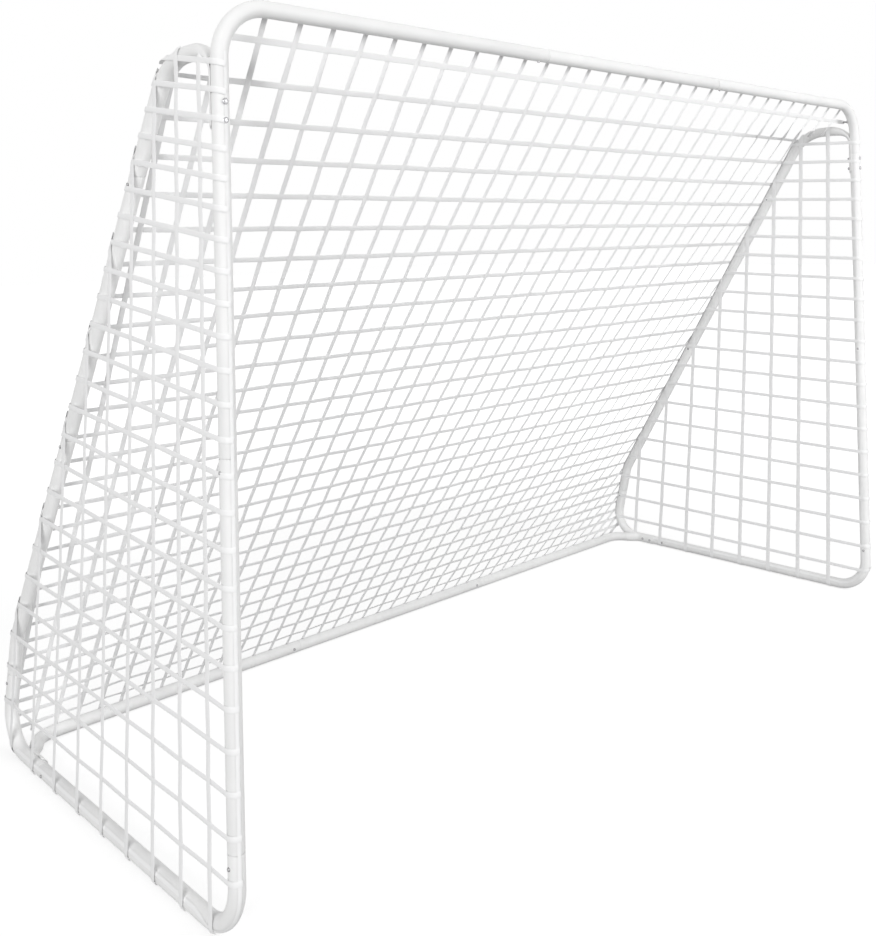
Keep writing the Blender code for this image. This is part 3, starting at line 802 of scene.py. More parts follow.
@dataclass
class CrushedTube(Tube):
    """A bent tube whose last end is crushed to a saddle round a host tube."""

    host: Callable[[Vector], Vector] = lambda point: point
    away: Vector = BACK
    reach: tuple[float, float] = (75.0, -75.0)
    saddle: float = 0.071
    crush: float = 0.050
    tip_round: float = 0.0128
    crush_steps: int = 16

    def saddle_section(self, point: Vector, way: Vector, tip: float) -> Ring:
        """The crushed section.

        Args:
            point: a point on the tube's axis.
            way: the tube's direction there.
            tip: how near the tip's edge it is, from 0, well short of it, to 1, at it.

        Returns:
            The ring, the far side first.
        """
        host = self.host(point)
        half = STOCK.crush_thickness / 2
        middle = STOCK.saddle_inner + half
        first, last = (math.radians(angle) for angle in self.reach)
        count = STOCK.sides // 2
        points = []
        for i in range(STOCK.sides):
            far = i < count
            step = i if far else STOCK.sides - 1 - i
            share = (1 - math.cos(math.pi * (step + 0.5) / count)) / 2
            angle = first + (last - first) * share
            from_edge = middle * abs(last - first) * min(share, 1 - share)
            edge = min(1.0, from_edge / half)
            bulge = math.sqrt(1 - (1 - edge) ** 2) * math.sqrt(max(0.04, 1 - tip ** 2))
            radius = middle + (half if far else -half) * bulge
            back = self.tip_round * (1 - math.cos(angle)) * (1 if tip else 0)
            back += half * (1 - tip) * (1 if tip else 0)
            points.append(host + swung(self.away, self.side, angle) * radius - way * back)
        return points

    def skins(self, maker: MeshMaker) -> None:
        """Builds the outside, crushed at its end, and the bore as far as it stays round.

        Args:
            maker: the mesh to build in.
        """
        path = self.path.stations()
        first, first_way = path[0]
        crush_start = self.saddle + self.crush
        travelled = 0.0
        middle = []
        for (near, _), (far, way) in zip(reversed(path), reversed(path[:-1])):
            travelled += (near - far).length
            if travelled > crush_start + STOCK.gap:
                middle.insert(0, (far, way))
        middle = middle[1:] + [self.path.short_of_end(crush_start)]
        outside, bore = (
            [round_section(point, first_way, self.side, reach) for point, reach in reversed(
                self.end_sections(first, -first_way, self.start, inner))]
            + [round_section(point, way, self.side, STOCK.bore if inner else STOCK.radius)
               for point, way in middle]
            for inner in (False, True)
        )
        for step in range(1, self.crush_steps + 1):
            share = step / self.crush_steps
            point, way = self.path.short_of_end(crush_start - self.crush * share)
            full = round_section(point, way, self.side, STOCK.radius)
            flat = self.saddle_section(point, way, 0.0)
            outside.append([a.lerp(b, eased(share)) for a, b in zip(full, flat)])
        tip, way = path[-1]
        outside += [self.saddle_section(tip, way, edge) for edge in (0.01, 0.5, 0.8, 0.95, 1.0)]
        outer = maker.skin(outside)
        inner = maker.skin(bore)
        maker.bridge(outer[0], inner[0])
        maker.mesh.faces.new(inner[-1])
        last = STOCK.sides - 1
        edge = outer[-1]
        for i in range(STOCK.sides // 2 - 1):
            maker.mesh.faces.new((edge[i], edge[i + 1], edge[last - i - 1], edge[last - i]))


@dataclass
class SpringButton:
    """A domed button on a bent leaf spring, which locks a joint."""

    name: str
    joint: Vector
    inward: Vector
    outward: Vector
    radius: float = 0.0040
    setback: float = 0.026
    proud: float = 0.0030
    dome: float = 0.0016
    flange_radius: float = 0.0058
    flange_thickness: float = 0.0010
    travel: float = 0.0046
    leaf_width: float = 0.0080
    leaf_thickness: float = 0.0008
    leaf_length: float = 0.026
    foot_gap: float = 0.0006
    hole_clearance: float = 0.0004
    leaf_steps: int = 16
    dome_steps: int = 6
    rounding: float = 0.0002
    fillet: float = 0.0003

    @property
    def centre(self) -> Vector:
        """Where the button's axis crosses the tube's."""
        return self.joint + self.inward * self.setback

    def hole(self) -> Hole:
        """The hole that it stands in."""
        return (self.centre, self.outward, self.radius + self.hole_clearance, STOCK.spigot_bore / 2,
                STOCK.radius * 1.5)

    def leaf(self, top: float) -> bpy.types.Object:
        """The leaf spring.

        Args:
            top: how far out its upper end lies.

        Returns:
            The leaf as an object of its own.
        """
        foot = -math.sqrt(STOCK.spigot_bore ** 2 - (self.leaf_width / 2) ** 2)
        foot += self.travel + self.foot_gap + self.leaf_thickness / 2
        across = self.inward.cross(self.outward)
        half = self.leaf_thickness / 2
        corners = ((-1, -0.5), (-0.96, -1), (0.96, -1), (1, -0.5), (1, 0.5), (0.96, 1), (-0.96, 1), (-1, 0.5))
        maker = MeshMaker()
        rings = []
        for step in range(self.leaf_steps + 1):
            share = step / self.leaf_steps
            height = top + (foot - top) * (1 - math.cos(math.pi * share)) / 2
            middle = self.centre + self.inward * (self.leaf_length * share - self.flange_radius * 0.6)
            middle = middle + self.outward * height
            narrow = 1 - 0.25 * max(0.0, share * 6 - 5) ** 2
            rings.append([middle + across * (self.leaf_width / 2 * a * narrow) + self.outward * (half * b)
                          for a, b in corners])
        maker.block(rings)
        return maker.piece("leaf")

    def build(self) -> None:
        """Builds and hands over the button with its leaf."""
        flange_top = math.sqrt(STOCK.spigot_bore ** 2 - self.flange_radius ** 2) - STOCK.gap
        foot = flange_top - self.flange_thickness
        top = STOCK.radius + self.proud
        wide, small = self.flange_radius, self.rounding
        profile = [(0, foot), (wide - small, foot), (wide, foot + small),
                   (wide, flange_top - small), (wide - small, flange_top),
                   (self.radius + self.fillet, flange_top), (self.radius, flange_top + self.fillet)]
        for step in range(self.dome_steps + 1):
            angle = math.pi / 2 * step / self.dome_steps
            profile.append((self.radius * math.cos(angle) if step < self.dome_steps else 0,
                            top - self.dome * (1 - math.sin(angle))))
        maker = MeshMaker()
        maker.lathe(profile, FASTENER_SIDES, self.centre, self.outward)
        made = maker.piece(f"button_{self.name}_spring")
        carve(made, [self.leaf(foot + self.leaf_thickness / 2)], "UNION")
        hand_over(made, "button_" + self.name, Slot.SPRING, "button_" + self.name)


def domed_head(seat: float, radius: float, height: float, bevel: float, rim: float,
               fullness: float = 1.0) -> list[tuple[float, float]]:
    """A domed head's profile for a lathe.

    Args:
        seat: where its underside lies.
        radius: its radius.
        height: its height.
        bevel: how high the bevel under its rim is.
        rim: how high its rim reaches.
        fullness: a number below 1 makes the dome fuller.

    Returns:
        (radius, distance along the axis) points from the underside to the top.
    """
    steps = 8
    profile = [(radius - 0.0003, seat), (radius, seat + bevel), (radius, seat + rim)]
    for step in range(1, steps + 1):
        angle = math.pi / 2 * step / steps
        reach = radius * math.cos(angle) ** fullness if step < steps else 0
        profile.append((reach, seat + rim + (height - rim) * math.sin(angle)))
    return profile


@dataclass
class Bolt:
    """A domed bolt through a post, a bar and an arch, with a rolled thread on its tail."""

    place: str
    centre: Vector
    axis: Vector
    radius: float = 0.0030
    head_radius: float = 0.0065
    head_height: float = 0.0036
    head_bevel: float = 0.0002
    head_rim: float = 0.0006
    nut_height: float = 0.005
    tail: float = 0.0020
    pitch: float = 0.0010
    thread_depth: float = 0.00045
    threaded: float = 0.012
    chamfer: float = 0.0003

    @property
    def end(self) -> float:
        """Where the shank ends along the axis."""
        return -(STOCK.saddle_outer + STOCK.gap + self.nut_height + self.tail)

    def thread(self, radius: float, along: float, angle: float) -> float:
        """The shank's radius at a point, cut by the thread where there is one."""
        if not self.end + self.chamfer < along < self.end + self.threaded or radius != self.radius:
            return radius
        turn = FULL_TURN * along / self.pitch - angle
        return radius - self.thread_depth * (1 + math.cos(turn)) / 2

    def build(self) -> None:
        """Builds and hands over the bolt."""
        seat = STOCK.radius + STOCK.gap
        start = self.end + self.chamfer
        count = 8 * round(self.threaded / self.pitch)
        profile = [(0, self.end), (self.radius * 0.8, self.end)]
        profile += [(self.radius, start + self.threaded * step / count) for step in range(count + 1)]
        profile.append((self.radius, seat))
        profile += domed_head(seat, self.head_radius, self.head_height, self.head_bevel, self.head_rim)
        maker = MeshMaker()
        maker.lathe(profile, FASTENER_SIDES, self.centre, self.axis, self.thread)
        made = maker.piece(f"bolt_{self.place}_zinc")
        hand_over(made, "bolt_" + self.place, Slot.ZINC)


@dataclass
class Nut:
    """A hexagon nut with chamfered corners, tight against a saddle."""

    place: str
    centre: Vector
    axis: Vector
    across_flats: float = 0.010
    height: float = 0.005
    bore: float = 0.0031
    sides: int = 48
    bevel: float = 0.0004
    face_share: float = 0.985
    corner_slope: float = 1.75
    sharp: float = 25.0

    def hexagon(self, level: float, angle: float) -> float:
        """The outside's radius at a height and angle, with the corners turned down at both ends."""
        sixth = math.pi / 3
        offset = (angle + sixth / 2) % sixth - sixth / 2
        flat = self.across_flats / 2 / math.cos(offset)
        from_end = min(level, self.height - level)
        return min(flat, self.across_flats / 2 * self.face_share + from_end * self.corner_slope)

    def build(self) -> None:
        """Builds and hands over the nut."""
        across = self.axis.orthogonal().normalized()
        other = self.axis.cross(across)
        seat = STOCK.saddle_outer + STOCK.gap
        levels = (0, 0.0002, 0.0004, 0.0006, 0.0009, 0.0025, 0.0041, 0.0044, 0.0046, 0.0048, 0.005)

        def ring(level: float, radius_at: Callable[[float], float]) -> Ring:
            """One ring of the nut at a level."""
            angles = [FULL_TURN * i / self.sides for i in range(self.sides)]
            base = self.centre + self.axis * (seat + level)
            return [base + swung(across, other, angle) * radius_at(angle) for angle in angles]

        maker = MeshMaker()
        outer = maker.skin([ring(level, lambda a, level=level: self.hexagon(level, a)) for level in levels])
        bevel = self.bevel
        bore = [(0, bevel), (bevel, 0), (self.height - bevel, 0), (self.height, bevel)]
        inner = maker.skin([ring(level, lambda a, wide=wide: self.bore + wide) for level, wide in bore])
        maker.bridge(outer[0], inner[0])
        maker.bridge(outer[-1], inner[-1])
        made = maker.piece(f"nut_{self.place}_zinc", self.sharp)
        hand_over(made, "nut_" + self.place, Slot.ZINC)


@dataclass
class Screw:
    """A pan-head screw with a cross recess, through a saddle and one wall of the tube under it."""

    place: str
    centre: Vector
    axis: Vector
    radius: float = 0.0025
    head_radius: float = 0.0055
    head_height: float = 0.0030
    head_bevel: float = 0.0003
    head_rim: float = 0.0010
    head_fullness: float = 0.7
    reach: float = 0.0110
    pitch: float = 0.0014
    thread_depth: float = 0.0005
    recess_width: float = 0.0011
    recess_depth: float = 0.0016
    recess_half: tuple[float, float] = (0.0011, 0.0031)
    recess_above: float = 0.001
    recess_turns: tuple[float, float] = (20.0, 110.0)
    thread_steps: int = 36

    def thread(self, radius: float, along: float, angle: float) -> float:
        """The shank's radius at a point, cut by the thread."""
        if radius != self.radius or along > STOCK.saddle_outer:
            return radius
        return radius - self.thread_depth * (1 + math.cos(FULL_TURN * along / self.pitch - angle)) / 2

    def build(self) -> None:
        """Builds and hands over the screw."""
        seat = STOCK.saddle_outer + STOCK.gap
        tip = seat - self.reach
        profile = [(0, tip), (self.radius * 0.35, tip + 0.0006), (self.radius * 0.8, tip + 0.0018)]
        count = self.thread_steps
        start = tip + 0.0022
        profile += [(self.radius, start + (seat - start) * step / count) for step in range(count + 1)]
        profile += domed_head(seat, self.head_radius, self.head_height, self.head_bevel, self.head_rim,
                              self.head_fullness)
        maker = MeshMaker()
        maker.lathe(profile, FASTENER_SIDES, self.centre, self.axis, self.thread)
        made = maker.piece(f"screw_{self.place}_zinc")
        carve(made, [self.blade(math.radians(turn)) for turn in self.recess_turns])
        hand_over(made, "screw_" + self.place, Slot.ZINC)

    def blade(self, turn: float) -> bpy.types.Object:
        """One tapered blade of the cross recess.

        Args:
            turn: how it is turned about the screw's axis.

        Returns:
            The cutter.
        """
        top = STOCK.saddle_outer + STOCK.gap + self.head_height
        first = self.axis.orthogonal().normalized()
        along = swung(first, self.axis.cross(first), turn)
        across = self.axis.cross(along)
        maker = MeshMaker()
        rings = []
        for depth, half in zip((-self.recess_depth, self.recess_above), self.recess_half):
            middle = self.centre + self.axis * (top + depth)
            wide = self.recess_width / 2
            rings.append([middle + along * (half * a) + across * (wide * b)
                          for a, b in ((-1, -1), (1, -1), (1, 1), (-1, 1))])
        maker.block(rings)
        return maker.piece("cutter")


@dataclass
class SideFrame:
    """One side of the frame: post, base, rear corner, brace and arch, with its locks, bolts and nuts."""

    side: Side
    arch_crush: float = 0.086

    @property
    def x(self) -> float:
        """Where the side frame stands."""
        return self.side.value * LAYOUT.post_x

    def at(self, y: float, z: float) -> Vector:
        """A point in the side frame's plane."""
        return Vector((self.x, y, z))

    def joints(self) -> dict[str, tuple[Vector, Vector]]:
        """Each lock's joint, with the direction into the tube that it stands in."""
        at, plan = self.at, LAYOUT
        kink, corner = at(plan.kink_y, plan.kink_z), at(plan.rear_corner_y, plan.ground_z)
        down_brace = (kink - at(plan.arch_y, plan.arch_z)).normalized()
        return {
            "post_middle": (at(0, plan.post_middle_z), -UP),
            "post_foot": (at(0, plan.post_foot_z), -UP),
            "base": (at(plan.base_part_y, plan.ground_z), -BACK),
            "rear_corner": (at(plan.riser_y(plan.rear_corner_z), plan.rear_corner_z),
                            (corner - kink).normalized()),
            "brace": (at(plan.brace_y(plan.brace_middle_z), plan.brace_middle_z), down_brace),
            "arch": (at(plan.brace_y(plan.arch_part_z), plan.arch_part_z), down_brace),
        }

    def bolt_holes(self) -> list[Hole]:
        """The holes that the bolts go through."""
        radius, reach = Bolt.radius + STOCK.hole_clearance, 2 * STOCK.radius
        return [(self.at(0, z), BACK, radius, -reach, reach) for z in LAYOUT.bolt_heights]

    def build(self) -> None:
        """Builds every piece of the side but the bars' ends and the screws."""
        at, plan, label = self.at, LAYOUT, self.side.label
        joints = {name: joint for name, (joint, _) in self.joints().items()}
        locks = {name: SpringButton(f"{name}_{label}", joint, inward, -RIGHT)
                 for name, (joint, inward) in self.joints().items()}
        holes = {name: lock.hole() for name, lock in locks.items()}
        mouth, spigot = TubeEnd.MOUTH, TubeEnd.SPIGOT
        foot_corner = at(0, plan.ground_z)
        rear_corner = at(plan.rear_corner_y, plan.ground_z)
        kink = at(plan.kink_y, plan.kink_z)
        runs = (
            ("post_upper", [at(0, plan.corner_z), joints["post_middle"]], (), mouth, spigot, ["post_middle"]),
            ("post_lower", [joints["post_middle"], joints["post_foot"]], (), mouth, spigot,
             ["post_middle", "post_foot"]),
            ("base", [joints["post_foot"], foot_corner, joints["base"]], (plan.front_bend,), mouth, mouth,
             ["post_foot", "base"]),
            ("rear_corner", [joints["base"], rear_corner, joints["rear_corner"]], (plan.rear_bend,),
             spigot, mouth, ["base", "rear_corner"]),
            ("brace_lower", [joints["rear_corner"], kink, joints["brace"]], (plan.kink_bend,), spigot, mouth,
             ["rear_corner", "brace"]),
            ("brace_upper", [joints["brace"], joints["arch"]], (), spigot, mouth, ["brace", "arch"]),
        )
        for name, corners, bends, start, end, through in runs:
            drilled = [holes[lock] for lock in through]
            if name == "post_upper":
                drilled += self.bolt_holes()
            if name == "rear_corner":
                drilled += screw_holes(self.side)
            Tube(f"{name}_{label}", BentPath(corners, bends), RIGHT, start, end, drilled).build()
        self.build_arch(joints["arch"], holes["arch"])
        for lock in locks.values():
            lock.build()
        for place, z in zip(("upper", "lower"), plan.bolt_heights):
            Bolt(f"{place}_{label}", at(0, z), -BACK).build()
            Nut(f"{place}_{label}", at(0, z), BACK).build()
        for place, y in zip(("front", "rear"), plan.screw_places):
            Screw(f"{place}_{label}", at(y, plan.ground_z), RIGHT * -self.side.value).build()

    def build_arch(self, foot: Vector, lock_hole: Hole) -> None:
        """Builds the arch, whose front leg is crushed against the post.

        Args:
            foot: where the arch meets the brace.
            lock_hole: the hole of the button there.
        """
        plan = LAYOUT
        leg_end = self.at(STOCK.beside, plan.bolt_heights[1] - plan.fastener_tip)
        corners = [foot, self.at(plan.arch_y, plan.arch_z), self.at(STOCK.beside, plan.arch_z), leg_end]
        CrushedTube(
            f"arch_{self.side.label}", BentPath(corners, (plan.arch_rear_bend, plan.arch_front_bend)), RIGHT,
            TubeEnd.SPIGOT, TubeEnd.MOUTH, [lock_hole, *self.bolt_holes()],
            host=lambda point: self.at(0, point.z), away=BACK,
            saddle=plan.arch_z - plan.arch_front_bend - leg_end.z, crush=self.arch_crush,
        ).build()


def screw_holes(side: Side) -> list[Hole]:
    """The holes that a side's screws go through.

    Args:
        side: which side of the goal.

    Returns:
        The holes.
    """
    x = side.value * LAYOUT.post_x
    radius = Screw.radius + STOCK.hole_clearance
    return [(Vector((x, y, LAYOUT.ground_z)), RIGHT * -side.value, radius, STOCK.radius / 2, 2 * STOCK.radius)
            for y in LAYOUT.screw_places]


@dataclass
class Bars:
    """The crossbar and the rear ground bar, each in three lengths."""

    rear_bend: float = 0.075
    saddle: float = 0.071
    crush: float = 0.050
    low_edge: float = 51.0
    high_edge: float = 75.0

    def build(self) -> None:
        """Builds both bars with their locks."""
        plan = LAYOUT
        tops = {side: Vector((side.value * plan.crossbar_middle / 2, 0, plan.bar_z)) for side in Side}
        rears = {side: Vector((side.value * plan.rear_bar_middle / 2, plan.depth, plan.ground_z))
                 for side in Side}
        top_locks = {side: SpringButton(f"crossbar_{side.label}", tops[side], RIGHT * side.value, -UP)
                     for side in Side}
        rear_locks = {side: SpringButton(f"rear_bar_{side.label}", rears[side], -RIGHT, -BACK)
                      for side in Side}
        Tube("crossbar_middle", BentPath([tops[Side.LEFT], tops[Side.RIGHT]]), BACK, TubeEnd.SPIGOT,
             TubeEnd.SPIGOT, [lock.hole() for lock in top_locks.values()]).build()
        Tube("rear_bar_middle", BentPath([rears[Side.LEFT], rears[Side.RIGHT]]), UP, TubeEnd.SPIGOT,
             TubeEnd.MOUTH, [lock.hole() for lock in rear_locks.values()]).build()
        for side in Side:
            self.build_end(side, tops[side], rears[side], top_locks[side], rear_locks[side])
            top_locks[side].build()
            rear_locks[side].build()

    def build_end(self, side: Side, top: Vector, rear: Vector, top_lock: SpringButton,
                  rear_lock: SpringButton) -> None:
        """Builds one side's crossbar end and rear bar end.

        Args:
            side: which side of the goal.
            top: the crossbar's joint.
            rear: the rear bar's joint.
            top_lock: the crossbar joint's button.
            rear_lock: the rear bar joint's button.
        """
        plan, sign = LAYOUT, side.value
        x = sign * plan.post_x
        frame_side = SideFrame(side)
        corners = [top, Vector((x, 0, plan.bar_z)), Vector((x, 0, plan.corner_z))]
        Tube(f"crossbar_{side.label}", BentPath(corners, (plan.front_bend,)), BACK, TubeEnd.MOUTH,
             TubeEnd.SPIGOT, [top_lock.hole(), *frame_side.bolt_holes()]).build()
        leg_x = x - sign * STOCK.beside
        tip = Vector((leg_x, plan.base_part_y + plan.fastener_tip, plan.ground_z))
        reach = (self.high_edge, -self.low_edge) if side is Side.LEFT else (self.low_edge, -self.high_edge)
        CrushedTube(
            f"rear_bar_{side.label}",
            BentPath([rear, Vector((leg_x, plan.depth, plan.ground_z)), tip], (self.rear_bend,)),
            UP * -sign, TubeEnd.MOUTH if side is Side.LEFT else TubeEnd.SPIGOT, TubeEnd.MOUTH,
            [rear_lock.hole(), *screw_holes(side)],
            host=lambda point: Vector((x, point.y, plan.ground_z)), away=RIGHT * -sign,
            reach=reach, saddle=self.saddle, crush=self.crush,
        ).build()


@dataclass
class Strand:
    """One flat cord of a net: stations of (point, way out of the net, width), swept with rounded edges."""

    thickness: float = 0.0013
    stations: list[Cord] = field(default_factory=list)

    def add(self, point: Vector, outward: Vector, width: float) -> None:
        """Adds a station."""
        self.stations.append((point, outward.normalized(), width))

    def sweep(self, maker: MeshMaker, braid: bmesh.types.BMLayerItem) -> None:
        """Builds the cord in a mesh, all of it above the floor.

        Args:
            maker: the mesh.
            braid: the UV layer that takes the way along and across the cord, in metres.
        """
        section = ((0.5, 0.0), (0.40, 0.38), (0.20, 0.5), (-0.20, 0.5), (-0.40, 0.38),
                   (-0.5, 0.0), (-0.40, -0.38), (-0.20, -0.5), (0.20, -0.5), (0.40, -0.38))
        count = len(section)
        rows = []
        travelled = 0.0
        for i, (point, outward, width) in enumerate(self.stations):
            before = self.stations[max(i - 1, 0)][0]
            after = self.stations[min(i + 1, len(self.stations) - 1)][0]
            way = (after - before).normalized()
            across = outward.cross(way).normalized()
            up = way.cross(across)
            if i:
                travelled += (point - before).length
            ring = [point + across * (width * a) + up * (self.thickness * b) for a, b in section]
            for corner in ring:
                corner.z = max(corner.z, FLOOR_GAP)
            spread = [width * a for a, _ in section]
            rows.append((maker.ring(ring), travelled, spread))
        for (first, start, near), (second, end, far) in zip(rows, rows[1:]):
            for i in range(count):
                j = (i + 1) % count
                face = maker.mesh.faces.new((first[i], first[j], second[j], second[i]))
                marks = ((start, near[i]), (start, near[j]), (end, far[j]), (end, far[i]))
                for loop, mark in zip(face.loops, marks):
                    loop[braid].uv = mark
        for ring, _, _ in (rows[0], rows[-1]):
            maker.mesh.faces.new(ring)


@dataclass
class Net:
    """What both kinds of net share: their cords, woven over and under."""

    node: str
    weave: float = 0.00068
    crossing: float = 0.007
    wrap_radius: float = 0.0195
    edge_radius: float = 0.0182
    wrap_step: float = 15.0
    sharp: float = 60.0

    def __post_init__(self) -> None:
        """Starts an empty mesh with the braid's UV layer."""
        self.maker = MeshMaker()
        self.braid = self.maker.mesh.loops.layers.uv.new("braid")

    def lay(self, strand: Strand) -> None:
        """Adds a cord to the net's mesh."""
        strand.sweep(self.maker, self.braid)

    def hand_over(self) -> None:
        """Ends the net's mesh and ties it to the CAD's stand-in."""
        hand_over(self.maker.piece(self.node + "_cords", self.sharp), self.node, Slot.CORD)

    def stops(self, marks: Sequence[Mark]) -> set[float]:
        """Where a cord needs stations: beside its crossings and halfway between them."""
        found = set()
        for where, _ in marks:
            found |= {where - self.crossing, where + self.crossing}
        for before, after in zip(marks, marks[1:]):
            found.add((before[0] + after[0]) / 2)
        return found

    def offset(self, where: float, marks: Sequence[Mark]) -> float:
        """How far over or under a cord lies.

        Args:
            where: the way along it.
            marks: (way along, 1 over or -1 under) of its crossings, in order.

        Returns:
            The distance out of the net's plane.
        """
        reach = self.crossing
        if not marks:
            return 0.0
        if where <= marks[0][0]:
            return self.weave * marks[0][1]
        for (near, first), (far, second) in zip(marks, marks[1:]):
            if where <= far:
                start, end = near + reach, far - reach
                share = min(1.0, max(0.0, (where - start) / max(end - start, 1e-6)))
                return self.weave * (first + (second - first) * eased(share))
        return self.weave * marks[-1][1]


@dataclass(frozen=True)
class Fan:
    """A side net's slightly fanned uprights or levels: where they lie along the frame and how they lean."""

    count: int
    first: float
    step: float
    squeeze: float
    lean: float
    lean_growth: float

    def cords(self) -> list[tuple[float, float]]:
        """Each cord's place along the frame and its slope there."""
        places = [(self.first + self.step * k) / (1 + self.squeeze * k) for k in range(self.count)]
        return [(place, self.lean + self.lean_growth * place) for place in places]


UPRIGHTS = {Side.LEFT: Fan(8, 0.06861, 0.11164, -0.01358, -0.0046, -0.141),
            Side.RIGHT: Fan(8, 0.13721, 0.12318, -0.00349, -0.0152, -0.0803)}
LAST_LEFT_UPRIGHT = (1.079, -0.157)
LEVELS = {Side.LEFT: Fan(24, 0.13864, 0.08789, 0.01189, -0.0131, 0.119),
          Side.RIGHT: Fan(21, 0.08921, 0.0922, 0.00762, 0.0028, 0.0288)}


@dataclass
class SideNet(Net):
    """The net over one side frame: cords run across its outward face and wrap its tubes."""

    side: Side = Side.LEFT
    plane: float = 0.0188
    upright_width: float = 0.0158
    level_width: float = 0.0118
    edge_width: float = 0.0080
    edge_thickness: float = 0.0011
    edge_step: float = 0.03
    landing: float = 0.03
    left_post_wrap: float = 92.0
    right_post_wrap: float = 128.0
    base_wrap: float = 50.0
    rear_wrap: float = 102.0
    top_wrap: float = 58.0
    base_top: float = 0.1
    near_post: float = 0.15
    near_post_slide: float = 0.3
    lattice_foot: float = 0.06

    @property
    def x(self) -> float:
        """Where the side frame's axes are."""
        return self.side.value * LAYOUT.post_x

    def outline(self, to_arch: bool) -> list[tuple[float, float]]:
        """The side frame's axes as (y, z), from the post's top down and round to the post again.

        Args:
            to_arch: whether it follows the arch's front bend, as for uprights, or goes on to the post.

        Returns:
            Its points.
        """
        plan = LAYOUT
        corners = [(0.0, plan.arch_z), (0.0, plan.ground_z), *plan.rear_corners]
        bends = [plan.front_bend, *plan.rear_bends]
        if to_arch:
            corners += [(STOCK.beside, plan.arch_z), (STOCK.beside, plan.corner_z)]
            bends.append(plan.arch_front_bend)
        else:
            corners.append((0.0, plan.arch_z))
        path = BentPath([Vector((0, y, z)) for y, z in corners], bends)
        return [(point.y, point.z) for point, _ in path.stations()]

    def lines(self) -> tuple[list[Station], list[Station]]:
        """The net's own slightly fanned lattice, as (point, direction) lines of (0, y, z).

        Returns:
            The uprights and the levels.
        """
        upright_cords = UPRIGHTS[self.side].cords()
        if self.side is Side.LEFT:
            upright_cords.append(LAST_LEFT_UPRIGHT)
        uprights = [(Vector((0, y, self.lattice_foot)), Vector((0, slope, 1)).normalized())
                    for y, slope in upright_cords]
        levels = [(Vector((0, 0, z)), Vector((0, 1, slope)).normalized())
                  for z, slope in LEVELS[self.side].cords()]
        return uprights, levels

    def ends(self, point: Vector, way: Vector) -> list[End] | None:
        """Where a line crosses the outline.

        Args:
            point: a point of the line.
            way: its direction.

        Returns:
            (way along, tube's direction, way out of the net) of both crossings, in order, or nothing.
        """
        outline = self.outline(abs(way.z) > abs(way.y))
        found = []
        for (y1, z1), (y2, z2) in zip(outline, outline[1:]):
            tube = Vector((0, y2 - y1, z2 - z1))
            slant = way.y * tube.z - way.z * tube.y
            if abs(slant) < 1e-9 or tube.length < 1e-9:
                continue
            gap = Vector((0, y1, z1)) - point
            along = (gap.y * tube.z - gap.z * tube.y) / slant
            share = (gap.y * way.z - gap.z * way.y) / slant
            if -1e-9 <= share < 1 - 1e-9:
                tube.normalize()
                found.append((along, tube, Vector((0, tube.z, -tube.y))))
        found.sort(key=lambda item: item[0])
        if len(found) < 2 or found[-1][0] - found[0][0] <= self.landing:
            return None
        return [found[0], found[-1]]

    def wrap_angle(self, tube: Vector, place: Vector) -> float:
        """How far round a tube a cord goes there, in degrees from the net's face."""
        if abs(tube.y) < 0.5 and place.y < 0.03:
            return self.left_post_wrap if self.side is Side.LEFT else self.right_post_wrap
        return self.base_wrap if place.z < 0.03 else self.rear_wrap

    def cord(self, line: Station, width: float, marks: list[Mark], found: list[End]) -> Strand:
        """One cord from wrap to wrap.

        Args:
            line: its (point, direction).
            width: its width.
            marks: its crossings, in order.
            found: its ends.

        Returns:
            The cord.
        """
        point, way = line
        strand = Strand()

        def flat(along: float) -> Vector:
            """A point of the line at the tubes' axes."""
            return Vector((self.x, 0, 0)) + point + way * along

        def wrap(end: End, sign: int) -> list[Cord]:
            """The stations round the tube at an end, from the net's face outwards."""
            along, tube, outward = end
            centre = flat(along)
            ahead = way * sign
            if ahead.dot(outward) < 0:
                outward = -outward
            slide = ahead.dot(tube) / max(0.25, ahead.dot(outward))
            limit = self.wrap_angle(tube, centre)
            if abs(way.z) > abs(way.y) and centre.z > self.base_top:
                limit = self.top_wrap
                if centre.y < self.near_post:
                    slide = max(-self.near_post_slide, min(self.near_post_slide, slide))
            steps = math.ceil(limit / self.wrap_step)
            turned = []
            for step in range(1, steps + 1):
                angle = math.radians(limit * step / steps)
                out = swung(-RIGHT, outward, angle)
                along_tube = tube * (self.wrap_radius * angle * slide)
                turned.append((centre + along_tube + out * self.wrap_radius, out, width))
            return turned

        for station in reversed(wrap(found[0], -1)):
            strand.add(*station)
        first, last = found[0][0], found[1][0]
        for along in sorted(stop for stop in self.stops(marks) | {first, last} if first <= stop <= last):
            share = min(1.0, (along - first) / self.landing, (last - along) / self.landing)
            lift = self.wrap_radius * (1 - share) + (self.plane + self.offset(along, marks)) * share
            strand.add(flat(along) - RIGHT * lift, -RIGHT, width)
        for station in wrap(found[1], 1):
            strand.add(*station)
        return strand

